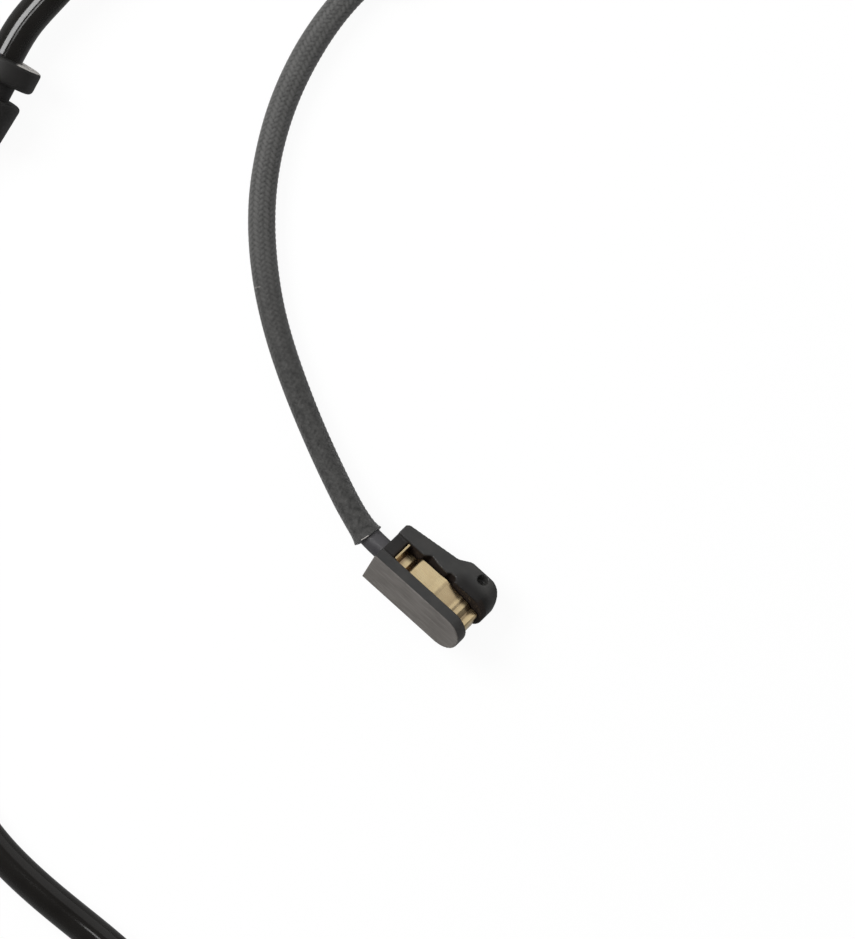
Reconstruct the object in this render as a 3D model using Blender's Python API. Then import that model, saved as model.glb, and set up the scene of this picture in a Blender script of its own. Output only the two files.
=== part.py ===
"""Brake pad wear sensor, in metres, +Z up.

A slotted plastic head with a brass spring clip sits on the end of a two-core lead. The lead
leaves the head in a braided sleeve, changes to a glossy outer tube at a rubber bush, passes
through a bracket grommet and ends in a two-pin connector. Everything lies on the plane z = 0,
and the origin is below the middle of the head.
"""

import math

import bmesh
import bpy
import numpy as np
from mathutils import Matrix, Vector

MM = 0.001
FIT_GAP = 0.3 * MM  # clearance between pieces that seat on each other
ARC_STEPS = 6  # edges in a quarter of a small fillet

# Head. Its own frame has x from the back to the nose, y across from the near cheek's outer
# face, and z up from the cheeks' top face.
HEAD_LENGTH = 22.0 * MM
HEAD_DEPTH = 8.3 * MM
HEAD_EDGE = 0.25 * MM
HEAD_ROLL = math.radians(32)
HEAD_PITCH = math.radians(6.3)
NEAR_CHEEK = 2.55 * MM
SLOT_WIDTH = 4.85 * MM
FAR_CHEEK = 2.8 * MM
LUG_WIDTH = 5.85 * MM
LUG_START = 13.6 * MM
LUG_FLARE = 1.7 * MM  # how far the far cheek has spread where the lug begins
LUG_HOLE_RADIUS = 1.05 * MM
LUG_HOLE_DEPTH = 1.8 * MM
LUG_HOLE_INSET = 1.4 * MM  # from the lug's outer face
LUG_HOLE_FROM_NOSE = 4.7 * MM
SLOT_FLOOR = 3.35 * MM  # below the top face
FLOOR_SETBACK = 2.2 * MM  # the floor stops short of the nose, for the clip's front leg
BRIDGE_LENGTH = 2.55 * MM
BRIDGE_DROP = 0.7 * MM
RELIEF_START = 6.1 * MM
RELIEF_DEPTH = 1.05 * MM
RELIEF_SHALLOW = 0.45 * MM  # between its two hollows
NOTCH_START = 12.3 * MM
NOTCH_LENGTH = 1.5 * MM
BACK_CORNER = 0.55 * MM  # across the far cheek's back corner

# Brass spring clip: a strip bent in the head's length-depth plane.
CLIP_THICKNESS = 0.4 * MM
CLIP_BEND = 0.45 * MM
CLIP_DIP = 2.45 * MM  # below the top face
CLIP_PLATEAU = 0.7 * MM  # below the top face
CLIP_TAB_TOP = 0.3 * MM  # below the top face
CLIP_DIP_START = 0.65 * MM  # this and the next four from the rear tab
CLIP_DIP_END = 2.0 * MM
CLIP_PLATEAU_START = 3.35 * MM
CLIP_PLATEAU_END = 8.3 * MM
CLIP_RAMP_START = 9.5 * MM
CLIP_RAMP_END = 3.9 * MM  # before the front leg
CLIP_ARCH = 0.9 * MM  # how far the arch before the front leg rises
CLIP_TOE = 1.1 * MM  # length of the toe that hooks under the floor
TOE_HEIGHT = 1.3 * MM  # of the toe above the head's underside

# Wiring inside the head.
CORE_RADIUS = 2.1 * MM
CORE_DEPTH = 4.05 * MM  # of the lead's axis below the top face
CORE_Y = 4.975 * MM  # of the lead's axis from the near cheek's outer face
BORE_LENGTH = 2.3 * MM
WIRE_RADIUS = 0.65 * MM
CONDUCTOR_RADIUS = 0.4 * MM
WIRE_SPACING = 1.9 * MM
CRIMP_LENGTH = 3.0 * MM
CRIMP_START = 4.3 * MM
CRIMP_WALL = 0.25 * MM
CHANNEL_WIDTH = 4.2 * MM
CHANNEL_CEILING = 4.5 * MM  # below the top face
CHANNEL_LENGTH = 10.0 * MM
CHANNEL_REACH = 18.6 * MM  # where the channel's slanting run ends, under the lug
POTTING_DEPTH = 1.1 * MM

# Lead.
SLEEVE_RADIUS = 2.5 * MM
TUBE_RADIUS = 3.25 * MM
CORE_SHOWING = 3.75 * MM
BUSH_RADIUS = 4.2 * MM
BUSH_LENGTH = 15.0 * MM
BUSH_SOCKET = 4.0 * MM
COIL_OUTER_TRACK = 37.9 * MM
COIL_INNER_TRACK = 31.3 * MM
COIL_BASE = 1.2 * MM
TIE_THICKNESS = 0.9 * MM
TIE_WIDTH = 4.0 * MM
TIE_ANGLE = math.radians(50)
GROMMET_FLANGE_RADIUS = 7.5 * MM
GROMMET_FLANGE = 4.45 * MM
GROMMET_GROOVE = 2.9 * MM
GROMMET_NECK_RADIUS = 4.35 * MM
GROMMET_BODY_RADIUS = 7.1 * MM
GROMMET_BODY = 8.8 * MM
GROMMET_BODY_TAPER = 0.55 * MM
GROMMET_TILT = math.radians(4.5)  # it rests on its flange and the end of its body
GROMMET_HEIGHT = 7.8 * MM  # of the flange's middle

# Connector. Its own frame has x towards the mating end and its origin at the boot's back.
BOOT_LENGTH = 9.0 * MM
BOOT_BACK_RADIUS = 4.3 * MM
TUBE_END_IN_BOOT = 5.2 * MM
HOUSING_LENGTH = 22.0 * MM
HOUSING_WIDTH = 15.0 * MM
HOUSING_HEIGHT = 10.4 * MM
HOUSING_CORNER = 3.2 * MM
MOUTH_DEPTH = 12.0 * MM
MOUTH_WALL = 1.5 * MM
TERMINAL_PITCH = 6.4 * MM
TERMINAL_WIDTH = 2.8 * MM
TERMINAL_THICKNESS = 0.8 * MM
TERMINAL_REACH = 7.6 * MM  # into the mouth
SEAL_BORE_RADIUS = 1.95 * MM
SEAL_BORE_LENGTH = 7.4 * MM
SEAL_LENGTH = 4.0 * MM
LOCK_THICKNESS = 1.4 * MM
GASKET_THICKNESS = 1.6 * MM

# The lead's route, in millimetres, seen from above: to the right, up, and height of its axis.
# Right and up are measured from the near cheek's back corner, and the head's length points
# 42 degrees below right. Each list is threaded by one smooth curve.
PLAN_TURN = math.radians(42)
SLEEVE_ROUTE = [
    (-6.62, 12.88, 4.7),
    (-11.49, 23.38, 3.6),
    (-15.73, 34.12, 2.9),
    (-18.96, 44.78, 2.6),
    (-20.75, 55.58, 2.5),
    (-20.95, 66.15, 2.5),
    (-19.73, 74.86, 2.5),
    (-16.97, 84.32, 2.7),
    (-12.42, 93.8, 3.2),
    (-5.61, 103.19, 3.8),
    (4.12, 111.62, 4.3),
    (13.4, 116.98, 4.4),
    (23.47, 120.64, 4.45),
    (31.9, 122.28, 4.45),
    (39.39, 122.74, 4.45),
]
BUSH_START = 118.0 * MM  # along the sleeve's route, from the head's back face
TUBE_TO_COIL_END = 143.5 * MM  # clear of the coil's outer turn
COIL_CENTRE = (39.39 * MM, 160.64 * MM)
TUBE_ROUTE = [
    (14.25, 184.4, 11.0),
    (5.7, 175.2, 11.0),
    (-2.7, 166.0, 10.85),
    (-19.6, 147.7, 10.3),
    (-36.6, 129.3, 9.6),
    (-50.5, 114.3, 9.0),
    (-60.7, 103.2, 8.5),
    (-64.6, 98.75, 8.2),
    (-67.9, 93.35, 7.8),
    (-69.8, 89.8, 7.5),
    (-71.7, 86.3, 7.2),
    (-73.6, 82.8, 6.9),
    (-75.5, 79.3, 6.55),
    (-83.9, 61.1, 4.9),
    (-89.9, 42.0, 3.7),
    (-93.1, 22.0, 3.3),
    (-92.9, 2.0, 3.25),
    (-89.2, -17.6, 3.25),
    (-81.2, -36.5, 3.25),
    (-69.5, -54.6, 3.3),
    (-66.0, -58.2, 3.4),
    (-59.5, -63.95, 3.8),
    (-53.3, -68.95, 4.6),
]
TUBE_FROM_COIL = 24.5 * MM  # along the tube's route, where it comes clear of the coil
GROMMET_START = (-68.25, 92.7)  # face of the flange that takes the tube from the coil
GROMMET_HEADING = math.radians(241.8)
HEAD_SLIP = 0.2 * MM  # how far the head's back lies behind the routes' own start
BOOT_BACK = (-46.77, -74.45)
ROUTE_STEP = 2.5  # spacing of a tube's points, in its own diameters


# Tools


def clear_scene():
    for obj in list(bpy.data.objects):
        bpy.data.objects.remove(obj, do_unlink=True)


def material(name, color, roughness, metallic=0.0):
    made = bpy.data.materials.new(name)
    made.use_nodes = True
    shader = made.node_tree.nodes["Principled BSDF"]
    shader.inputs["Base Color"].default_value = (*color, 1.0)
    shader.inputs["Roughness"].default_value = roughness
    shader.inputs["Metallic"].default_value = metallic
    made.diffuse_color = (*color, 1.0)
    return made


def add_empty(name, location, rotation, parent=None):
    empty = bpy.data.objects.new(name, None)
    empty.location = location
    empty.rotation_euler = rotation
    empty.parent = parent
    bpy.context.collection.objects.link(empty)
    return empty


def add_mesh(name, bm, finish, parent):
    """Object from a bmesh, with its faces turned outwards and round forms shaded smooth."""
    bmesh.ops.recalc_face_normals(bm, faces=bm.faces)
    mesh = bpy.data.meshes.new(name)
    bm.to_mesh(mesh)
    bm.free()
    mesh.shade_smooth()
    mesh.set_sharp_from_angle(angle=math.radians(35))
    mesh.materials.append(finish)
    obj = bpy.data.objects.new(name, mesh)
    obj.parent = parent
    bpy.context.collection.objects.link(obj)
    return obj


def prism(outline, low, high, axis):
    """Closed solid with a flat outline, carried along one axis from low to high.

    The outline is in (x, y) for axis z, (x, z) for axis y and (y, z) for axis x.
    """
    across = "xyz".index(axis)
    bm = bmesh.new()
    ends = []
    for level in (low, high):
        ring = []
        for first, second in outline:
            point = [first, second]
            point.insert(across, level)
            ring.append(bm.verts.new(point))
        ends.append(ring)
    bm.faces.new(ends[0])
    bm.faces.new(ends[1])
    for k in range(len(outline)):
        bm.faces.new((ends[0][k - 1], ends[0][k], ends[1][k], ends[1][k - 1]))
    return bm


def box(low, high):
    outline = [(low[0], low[1]), (high[0], low[1]), (high[0], high[1]), (low[0], high[1])]
    return prism(outline, low[2], high[2], "z")


def turned(profile, steps=32):
    """Solid of revolution about x, from a closed profile of (x, radius) points."""
    bm = bmesh.new()
    ring = [bm.verts.new((x, radius, 0.0)) for x, radius in profile]
    edges = [bm.edges.new((ring[k - 1], ring[k])) for k in range(len(ring))]
    bmesh.ops.spin(
        bm,
        geom=ring + edges,
        cent=(0, 0, 0),
        axis=(1, 0, 0),
        dvec=(0, 0, 0),
        angle=2 * math.pi,
        steps=steps,
        use_merge=True,
    )
    bmesh.ops.remove_doubles(bm, verts=bm.verts, dist=1e-6)
    return bm


def round_corners(corners, radius, steps=ARC_STEPS, closed=True):
    """The same path with an arc in each corner; radius is one value or one per corner."""
    radii = radius if isinstance(radius, (list, tuple)) else [radius] * len(corners)
    points = []
    count = len(corners)
    for k, corner in enumerate(corners):
        if radii[k] == 0 or (not closed and k in (0, count - 1)):
            points.append(corner)
            continue
        here = Vector(corner)
        before = (Vector(corners[k - 1]) - here).normalized()
        after = (Vector(corners[(k + 1) % count]) - here).normalized()
        half = before.angle(after) / 2
        if half > math.radians(89):
            points.append(corner)
            continue
        reach = min(
            radii[k] / math.tan(half),
            0.49 * (Vector(corners[k - 1]) - here).length,
            0.49 * (Vector(corners[(k + 1) % count]) - here).length,
        )
        bend = reach * math.tan(half)
        centre = here + (before + after).normalized() * bend / math.sin(half)
        start = here + before * reach - centre
        sweep = start.angle_signed(here + after * reach - centre)
        for step in range(steps + 1):
            turn = -sweep * step / steps
            points.append(
                (
                    centre.x + start.x * math.cos(turn) - start.y * math.sin(turn),
                    centre.y + start.x * math.sin(turn) + start.y * math.cos(turn),
                )
            )
    return points


def rounded_rectangle(width, height, radius, steps=ARC_STEPS):
    x, y = width / 2, height / 2
    return round_corners([(-x, -y), (x, -y), (x, y), (-x, y)], radius, steps)


def strip_outline(path, thickness):
    """Outline of a strip of even thickness that follows an open path."""
    left, right = [], []
    for k, point in enumerate(path):
        here = Vector(point)
        before = Vector(path[max(k - 1, 0)])
        after = Vector(path[min(k + 1, len(path) - 1)])
        along = (after - before).normalized()
        side = Vector((-along.y, along.x)) * thickness / 2
        left.append(tuple(here + side))
        right.append(tuple(here - side))
    return left + right[::-1]


def hull_of_circles(centres, radius, steps=40):
    """Convex outline around equal circles, by the monotone chain."""
    cloud = sorted(
        (
            x + radius * math.cos(2 * math.pi * k / steps),
            y + radius * math.sin(2 * math.pi * k / steps),
        )
        for x, y in centres
        for k in range(steps)
    )

    def chain(points):
        kept = []
        for point in points:
            while len(kept) > 1 and (
                (kept[-1][0] - kept[-2][0]) * (point[1] - kept[-2][1])
                - (kept[-1][1] - kept[-2][1]) * (point[0] - kept[-2][0])
            ) <= 0:
                kept.pop()
            kept.append(point)
        return kept[:-1]

    return chain(cloud) + chain(cloud[::-1])


def combine(obj, operation, bm, name, parent):
    """Boolean with a helper solid that stays in the file, hidden from the build."""
    helper = add_mesh(name, bm, obj.data.materials[0], parent)
    helper.hide_render = True
    helper.display_type = "WIRE"
    step = obj.modifiers.new(name, "BOOLEAN")
    step.operation = operation
    step.solver = "EXACT"
    step.object = helper
    return helper


def soften_edges(obj, width, segments=2, angle=40):
    bevel = obj.modifiers.new("edges", "BEVEL")
    bevel.width = width
    bevel.segments = segments
    bevel.limit_method = "ANGLE"
    bevel.angle_limit = math.radians(angle)


def spline_through(points, step):
    """Points a step apart along the natural cubic spline through the given points."""
    knots = np.array([tuple(p) for p in points])
    chords = np.linalg.norm(np.diff(knots, axis=0), axis=1)
    at = np.concatenate([[0.0], np.cumsum(chords)])
    count = len(knots)
    system = np.eye(count)
    sides = np.zeros_like(knots)
    for k in range(1, count - 1):
        system[k, k - 1 : k + 2] = chords[k - 1], 2 * (chords[k - 1] + chords[k]), chords[k]
        slope_after = (knots[k + 1] - knots[k]) / chords[k]
        slope_before = (knots[k] - knots[k - 1]) / chords[k - 1]
        sides[k] = 6 * (slope_after - slope_before)
    bends = np.linalg.solve(system, sides)
    fine = []
    for k in range(count - 1):
        span = chords[k]
        for t in np.linspace(0, span, 24, endpoint=k == count - 2):
            left, right = span - t, t
            fine.append(
                (bends[k] * left**3 + bends[k + 1] * right**3) / (6 * span)
                + (knots[k] / span - bends[k] * span / 6) * left
                + (knots[k + 1] / span - bends[k + 1] * span / 6) * right
            )
    fine = np.array(fine)
    run = np.concatenate([[0.0], np.cumsum(np.linalg.norm(np.diff(fine, axis=0), axis=1))])
    marks = np.linspace(0, run[-1], max(2, round(run[-1] / step) + 1))
    return np.array([np.interp(marks, run, fine[:, axis]) for axis in range(3)]).T


def stretch_of(line, start, end, step):
    """The part of a finely stepped line between two lengths along it."""
    run = np.concatenate([[0.0], np.cumsum(np.linalg.norm(np.diff(line, axis=0), axis=1))])
    end = min(end, run[-1])
    marks = np.linspace(start, end, max(2, round((end - start) / step) + 1))
    return np.array([np.interp(marks, run, line[:, axis]) for axis in range(3)]).T


def add_tube(name, points, radius, finish, resolution, parent=None):
    """Round cord along points, as a curve with filled ends."""
    curve = bpy.data.curves.new(name, "CURVE")
    curve.dimensions = "3D"
    curve.bevel_depth = radius
    curve.bevel_resolution = resolution
    curve.use_fill_caps = True
    spline = curve.splines.new("POLY")
    spline.points.add(len(points) - 1)
    for point, where in zip(spline.points, points):
        point.co = (*where, 1.0)
    curve.materials.append(finish)
    obj = bpy.data.objects.new(name, curve)
    obj.parent = parent
    bpy.context.collection.objects.link(obj)
    return obj


def corners_of(objects):
    """Lowest and highest corner of the objects as they are built."""
    bpy.context.view_layer.update()
    graph = bpy.context.evaluated_depsgraph_get()
    found = []
    for obj in objects:
        built = obj.evaluated_get(graph)
        mesh = built.to_mesh()
        found += [built.matrix_world @ vertex.co for vertex in mesh.vertices]
        built.to_mesh_clear()
    low = Vector([min(point[axis] for point in found) for axis in range(3)])
    high = Vector([max(point[axis] for point in found) for axis in range(3)])
    return low, high


# Head

SLOT_FAR = NEAR_CHEEK + SLOT_WIDTH
BACK_WIDTH = SLOT_FAR + FAR_CHEEK
LUG_OUTER = SLOT_FAR + LUG_WIDTH
NOSE_RADIUS = HEAD_DEPTH / 2
FLOOR_END = HEAD_LENGTH - FLOOR_SETBACK


def head_body(finish, frame):
    """Moulded housing: two cheeks joined by a floor and a back bridge, and the wear lug."""
    nose = [(0, -HEAD_DEPTH), (HEAD_LENGTH, -HEAD_DEPTH), (HEAD_LENGTH, 0), (0, 0)]
    side = round_corners(nose, [0, NOSE_RADIUS, NOSE_RADIUS, 0], 12)
    body = add_mesh("sensor_body", prism(side, 0, LUG_OUTER, "y"), finish, frame)

    plan = [
        (-HEAD_EDGE, 0),
        (HEAD_LENGTH + HEAD_EDGE, 0),
        (HEAD_LENGTH + HEAD_EDGE, SLOT_FAR - RELIEF_DEPTH / 2),
        (HEAD_LENGTH, LUG_OUTER),
        (LUG_START, LUG_OUTER),
        (LUG_START - 2.2 * MM, BACK_WIDTH + LUG_FLARE - 0.15 * MM),
        (BACK_CORNER, BACK_WIDTH),
        (-HEAD_EDGE, BACK_WIDTH - BACK_CORNER - HEAD_EDGE),
    ]
    radii = [0, 0, 1.0 * MM, 3.8 * MM, 1.6 * MM, 1.6 * MM, 0.6 * MM, 0]
    outline = prism(round_corners(plan, radii), -HEAD_DEPTH - MM, MM, "z")
    combine(body, "INTERSECT", outline, "plan_outline", frame)

    past_nose = HEAD_LENGTH + 2 * MM
    under = -HEAD_DEPTH - MM
    toe_z = TOE_HEIGHT - HEAD_DEPTH
    toe_room = CLIP_THICKNESS / 2 + FIT_GAP
    toe_end = FLOOR_END - CLIP_TOE - FIT_GAP
    slot_side = [
        (-MM, -BRIDGE_DROP),
        (BRIDGE_LENGTH, -BRIDGE_DROP),
        (BRIDGE_LENGTH, -SLOT_FLOOR),
        (FLOOR_END, -SLOT_FLOOR),
        (FLOOR_END, toe_z + toe_room),
        (toe_end, toe_z + toe_room),
        (toe_end, toe_z - toe_room),
        (FLOOR_END, toe_z - toe_room),
        (FLOOR_END, under),
        (past_nose, under),
        (past_nose, MM),
        (-MM, MM),
    ]
    slot = prism(slot_side, NEAR_CHEEK, SLOT_FAR, "y")
    combine(body, "DIFFERENCE", slot, "slot_cut", frame)
    inside = SLOT_FAR - 0.2 * MM
    relief_plan = [
        (RELIEF_START, inside),
        (NOTCH_START + NOTCH_LENGTH, inside),
        (NOTCH_START + NOTCH_LENGTH, SLOT_FAR + RELIEF_SHALLOW),
        (NOTCH_START + 0.7 * NOTCH_LENGTH, SLOT_FAR + RELIEF_DEPTH),
        (NOTCH_START, SLOT_FAR + RELIEF_DEPTH),
        (NOTCH_START - 0.4 * NOTCH_LENGTH, SLOT_FAR + RELIEF_SHALLOW),
        (RELIEF_START + 3 * RELIEF_DEPTH, SLOT_FAR + RELIEF_SHALLOW + 0.15 * MM),
        (RELIEF_START + 1.3 * RELIEF_DEPTH, SLOT_FAR + RELIEF_DEPTH),
    ]
    relief = prism(relief_plan, 0.2 * MM - SLOT_FLOOR, MM, "z")
    combine(body, "DIFFERENCE", relief, "relief_cut", frame)
    hole = turned(
        [
            (-LUG_HOLE_DEPTH, 0),
            (-LUG_HOLE_DEPTH, LUG_HOLE_RADIUS),
            (MM, LUG_HOLE_RADIUS),
            (MM, 0),
        ],
        24,
    )
    hole.transform(Matrix.Rotation(math.radians(-90), 4, "Y"))
    hole_at = (HEAD_LENGTH - LUG_HOLE_FROM_NOSE, LUG_OUTER - LUG_HOLE_INSET, 0)
    hole.transform(Matrix.Translation(hole_at))
    combine(body, "DIFFERENCE", hole, "lug_hole_cut", frame)

    bore_radius = CORE_RADIUS + FIT_GAP
    bore = turned([(-MM, 0), (-MM, bore_radius), (BORE_LENGTH, bore_radius), (BORE_LENGTH, 0)])
    bore.transform(Matrix.Translation((0, CORE_Y, -CORE_DEPTH)))
    combine(body, "DIFFERENCE", bore, "lead_bore_cut", frame)
    channel = prism(channel_plan(0), -HEAD_DEPTH - MM, -CHANNEL_CEILING, "z")
    combine(body, "DIFFERENCE", channel, "channel_cut", frame)
    return body


def channel_plan(inset):
    """Plan of the wire channel: along under the floor, then slanting out below the lug."""
    half = CHANNEL_WIDTH / 2
    lug_middle = SLOT_FAR + LUG_WIDTH / 2
    start = BORE_LENGTH - 0.5 * MM
    corners = [
        (start + inset, CORE_Y - half + inset),
        (CHANNEL_LENGTH, CORE_Y - half + inset),
        (CHANNEL_REACH - inset, lug_middle - half + MM + inset),
        (CHANNEL_REACH - inset, lug_middle + half - 0.3 * MM - inset),
        (CHANNEL_LENGTH - 2.6 * MM, CORE_Y + half - inset),
        (start + inset, CORE_Y + half - inset),
    ]
    return corners


def potting_seal(finish, frame):
    """Hardened potting that closes the wire channel, level with the underside."""
    bm = prism(
        channel_plan(FIT_GAP),
        -HEAD_DEPTH + HEAD_EDGE,
        -HEAD_DEPTH + HEAD_EDGE + POTTING_DEPTH,
        "z",
    )
    return add_mesh("potting_seal", bm, finish, frame)


def spring_clip(finish, frame):
    """Brass strip: rear tab, dip, plateau, ramp, arch, and a front leg with a hooked toe."""
    front = FLOOR_END + FIT_GAP + CLIP_THICKNESS / 2
    tab = BRIDGE_LENGTH + FIT_GAP + CLIP_THICKNESS / 2
    low = SLOT_FLOOR - FIT_GAP - CLIP_THICKNESS / 2
    bends = [
        (tab, CLIP_TAB_TOP),
        (tab + CLIP_DIP_START, CLIP_DIP + CLIP_THICKNESS / 2),
        (tab + CLIP_DIP_END, CLIP_DIP + CLIP_THICKNESS / 2),
        (tab + CLIP_PLATEAU_START, CLIP_PLATEAU + CLIP_THICKNESS / 2),
        (tab + CLIP_PLATEAU_END, CLIP_PLATEAU + CLIP_THICKNESS / 2),
        (tab + CLIP_RAMP_START, CLIP_PLATEAU),
        (front - CLIP_RAMP_END, low - CLIP_ARCH / 3),
        (front - 3.1 * MM, low - CLIP_ARCH),
        (front - 2.3 * MM, low - CLIP_ARCH),
        (front - 1.5 * MM, low),
        (front - 0.8 * MM, low - 0.3 * MM),
        (front, low - 0.1 * MM),
        (front, HEAD_DEPTH - TOE_HEIGHT),
        (FLOOR_END - CLIP_TOE, HEAD_DEPTH - TOE_HEIGHT),
    ]
    corners = [(x, -depth) for x, depth in bends]
    radii = [CLIP_BEND] * len(corners)
    radii[11] = 0.8 * MM
    path = round_corners(corners, radii, 5, closed=False)
    outline = strip_outline(path, CLIP_THICKNESS)
    bm = prism(outline, NEAR_CHEEK + FIT_GAP, SLOT_FAR - FIT_GAP, "y")
    return add_mesh("spring_clip", bm, finish, frame)


def head_wiring(copper, insulation, frame):
    """Two short wires, two crimps and the hairpin loop that the disc wears through."""
    made = []
    wire_z = -(CHANNEL_CEILING + HEAD_DEPTH - HEAD_EDGE - POTTING_DEPTH) / 2
    crimp_inner = CONDUCTOR_RADIUS + FIT_GAP
    crimp_outer = crimp_inner + CRIMP_WALL
    crimp_end = CRIMP_START + CRIMP_LENGTH
    stripped = CRIMP_START - FIT_GAP
    leg_start = crimp_end - CRIMP_LENGTH / 3
    sides = {"a": -WIRE_SPACING / 2, "b": WIRE_SPACING / 2}
    for letter, offset in sides.items():
        y = CORE_Y + offset
        wire = turned(
            [
                (BORE_LENGTH, 0),
                (BORE_LENGTH, WIRE_RADIUS),
                (stripped, WIRE_RADIUS),
                (stripped, CONDUCTOR_RADIUS),
                (CRIMP_START + CRIMP_LENGTH / 3, CONDUCTOR_RADIUS),
                (CRIMP_START + CRIMP_LENGTH / 3, 0),
            ],
            16,
        )
        wire.transform(Matrix.Translation((0, y, wire_z)))
        made.append(add_mesh(f"core_wire_{letter}", wire, insulation, frame))
        crimp = turned(
            [
                (CRIMP_START, crimp_inner),
                (CRIMP_START, crimp_outer),
                (crimp_end, crimp_outer),
                (crimp_end, crimp_inner),
            ],
            20,
        )
        crimp.transform(Matrix.Translation((0, y, wire_z)))
        made.append(add_mesh(f"crimp_sleeve_{letter}", crimp, copper, frame))
    lug_middle = SLOT_FAR + LUG_WIDTH / 2
    loop_end = CHANNEL_REACH - FIT_GAP - CONDUCTOR_RADIUS - 0.1 * MM
    near_leg = CORE_Y + sides["a"]
    far_leg = CORE_Y + sides["b"]
    hairpin = [
        (leg_start, near_leg, wire_z),
        (crimp_end + 0.6 * MM, near_leg, wire_z),
        (CHANNEL_LENGTH - 0.6 * MM, near_leg + 0.5 * MM, wire_z),
        (loop_end - 3.4 * MM, lug_middle - 2.6 * MM, wire_z),
        (loop_end - 0.9 * MM, lug_middle - 1.1 * MM, wire_z),
        (loop_end, lug_middle - 0.3 * MM, wire_z),
        (loop_end - 1.0 * MM, lug_middle + 0.15 * MM, wire_z),
        (loop_end - 4.0 * MM, lug_middle - 1.2 * MM, wire_z),
        (CHANNEL_LENGTH - 1.4 * MM, far_leg + 0.3 * MM, wire_z),
        (crimp_end + 0.5 * MM, far_leg, wire_z),
        (leg_start, far_leg, wire_z),
    ]
    points = spline_through(hairpin, ROUTE_STEP / 4 * 2 * CONDUCTOR_RADIUS)
    made.append(add_tube("wear_loop", points, CONDUCTOR_RADIUS, copper, 2, frame))
    return made


# Lead


def route_in_plan(route, frame):
    """A route's millimetre points as world points."""
    return [frame.matrix_world @ (Vector(point) * MM) for point in route]


def lead_from_head(head, plan, finishes):
    """Core, braided sleeve, bush and the first of the outer tube, up to the coil."""
    back = head.matrix_world
    core_end = back @ Vector((BORE_LENGTH - FIT_GAP, CORE_Y, -CORE_DEPTH))
    back_face = back @ Vector((0, CORE_Y, -CORE_DEPTH))
    sleeve_end = back @ Vector((-CORE_SHOWING, CORE_Y + 0.1 * MM, -CORE_DEPTH + 0.1 * MM))
    route = [back_face, sleeve_end] + route_in_plan(SLEEVE_ROUTE, plan)
    line = spline_through(route, 0.5 * MM)
    core = np.vstack([[core_end], stretch_of(line, 0, CORE_SHOWING - 2 * FIT_GAP, MM)])
    add_tube("lead_core", core, CORE_RADIUS, finishes["core"], 3)

    bush_end = BUSH_START + BUSH_LENGTH
    sleeve_to = BUSH_START + BUSH_SOCKET - FIT_GAP
    sleeve_step = ROUTE_STEP * 2 * SLEEVE_RADIUS / 2
    sleeve = stretch_of(line, CORE_SHOWING, sleeve_to, sleeve_step)
    add_tube("braided_sleeve", sleeve, SLEEVE_RADIUS, finishes["sleeve"], 3)

    tube_from = bush_end - BUSH_SOCKET + FIT_GAP
    tube = stretch_of(line, tube_from, TUBE_TO_COIL_END, TUBE_RADIUS)
    add_tube("tube_to_coil", tube, TUBE_RADIUS, finishes["tube"], 4)

    ends = stretch_of(line, BUSH_START, bush_end, BUSH_LENGTH)
    sleeve_bush(Vector(ends[0]), Vector(ends[-1]), finishes["rubber"])


def sleeve_bush(start, end, finish):
    """Rubber bush that joins the braided sleeve to the outer tube, with grip rings."""
    sleeve_bore = SLEEVE_RADIUS + FIT_GAP
    tube_bore = TUBE_RADIUS + FIT_GAP
    ring = BUSH_RADIUS - 0.35 * MM
    profile = [(0, sleeve_bore), (0, ring), (0.5 * MM, BUSH_RADIUS)]
    groove = 1.5 * MM
    first = BUSH_LENGTH / 2 - 2.5 * groove
    for k in range(3):
        at = first + 2 * k * groove
        profile += [(at, BUSH_RADIUS), (at, ring), (at + groove, ring), (at + groove, BUSH_RADIUS)]
    profile += [
        (BUSH_LENGTH - 0.5 * MM, BUSH_RADIUS),
        (BUSH_LENGTH, ring),
        (BUSH_LENGTH, tube_bore),
        (BUSH_LENGTH - BUSH_SOCKET, tube_bore),
        (BUSH_LENGTH - BUSH_SOCKET, CORE_RADIUS),
        (BUSH_SOCKET, CORE_RADIUS),
        (BUSH_SOCKET, sleeve_bore),
    ]
    bush = add_mesh("sleeve_bush", turned(profile), finish, None)
    lay_along(bush, start, end)


def lay_along(obj, start, end):
    """Put an object's own x axis on the line from start to end."""
    turn = (end - start).to_track_quat("X", "Z")
    obj.matrix_world = Matrix.LocRotScale(start, turn, Vector((1, 1, 1)))


def strand_centres():
    """Where three strands of the coil lie in its section: two below and one above."""
    low = COIL_BASE + TUBE_RADIUS
    middle = (COIL_OUTER_TRACK + COIL_INNER_TRACK) / 2
    side = (COIL_OUTER_TRACK - COIL_INNER_TRACK) / 2
    top = low + math.sqrt((2 * TUBE_RADIUS) ** 2 - side**2) + 0.95 * MM
    return [(COIL_OUTER_TRACK, low), (COIL_INNER_TRACK, low), (middle, top)]


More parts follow.
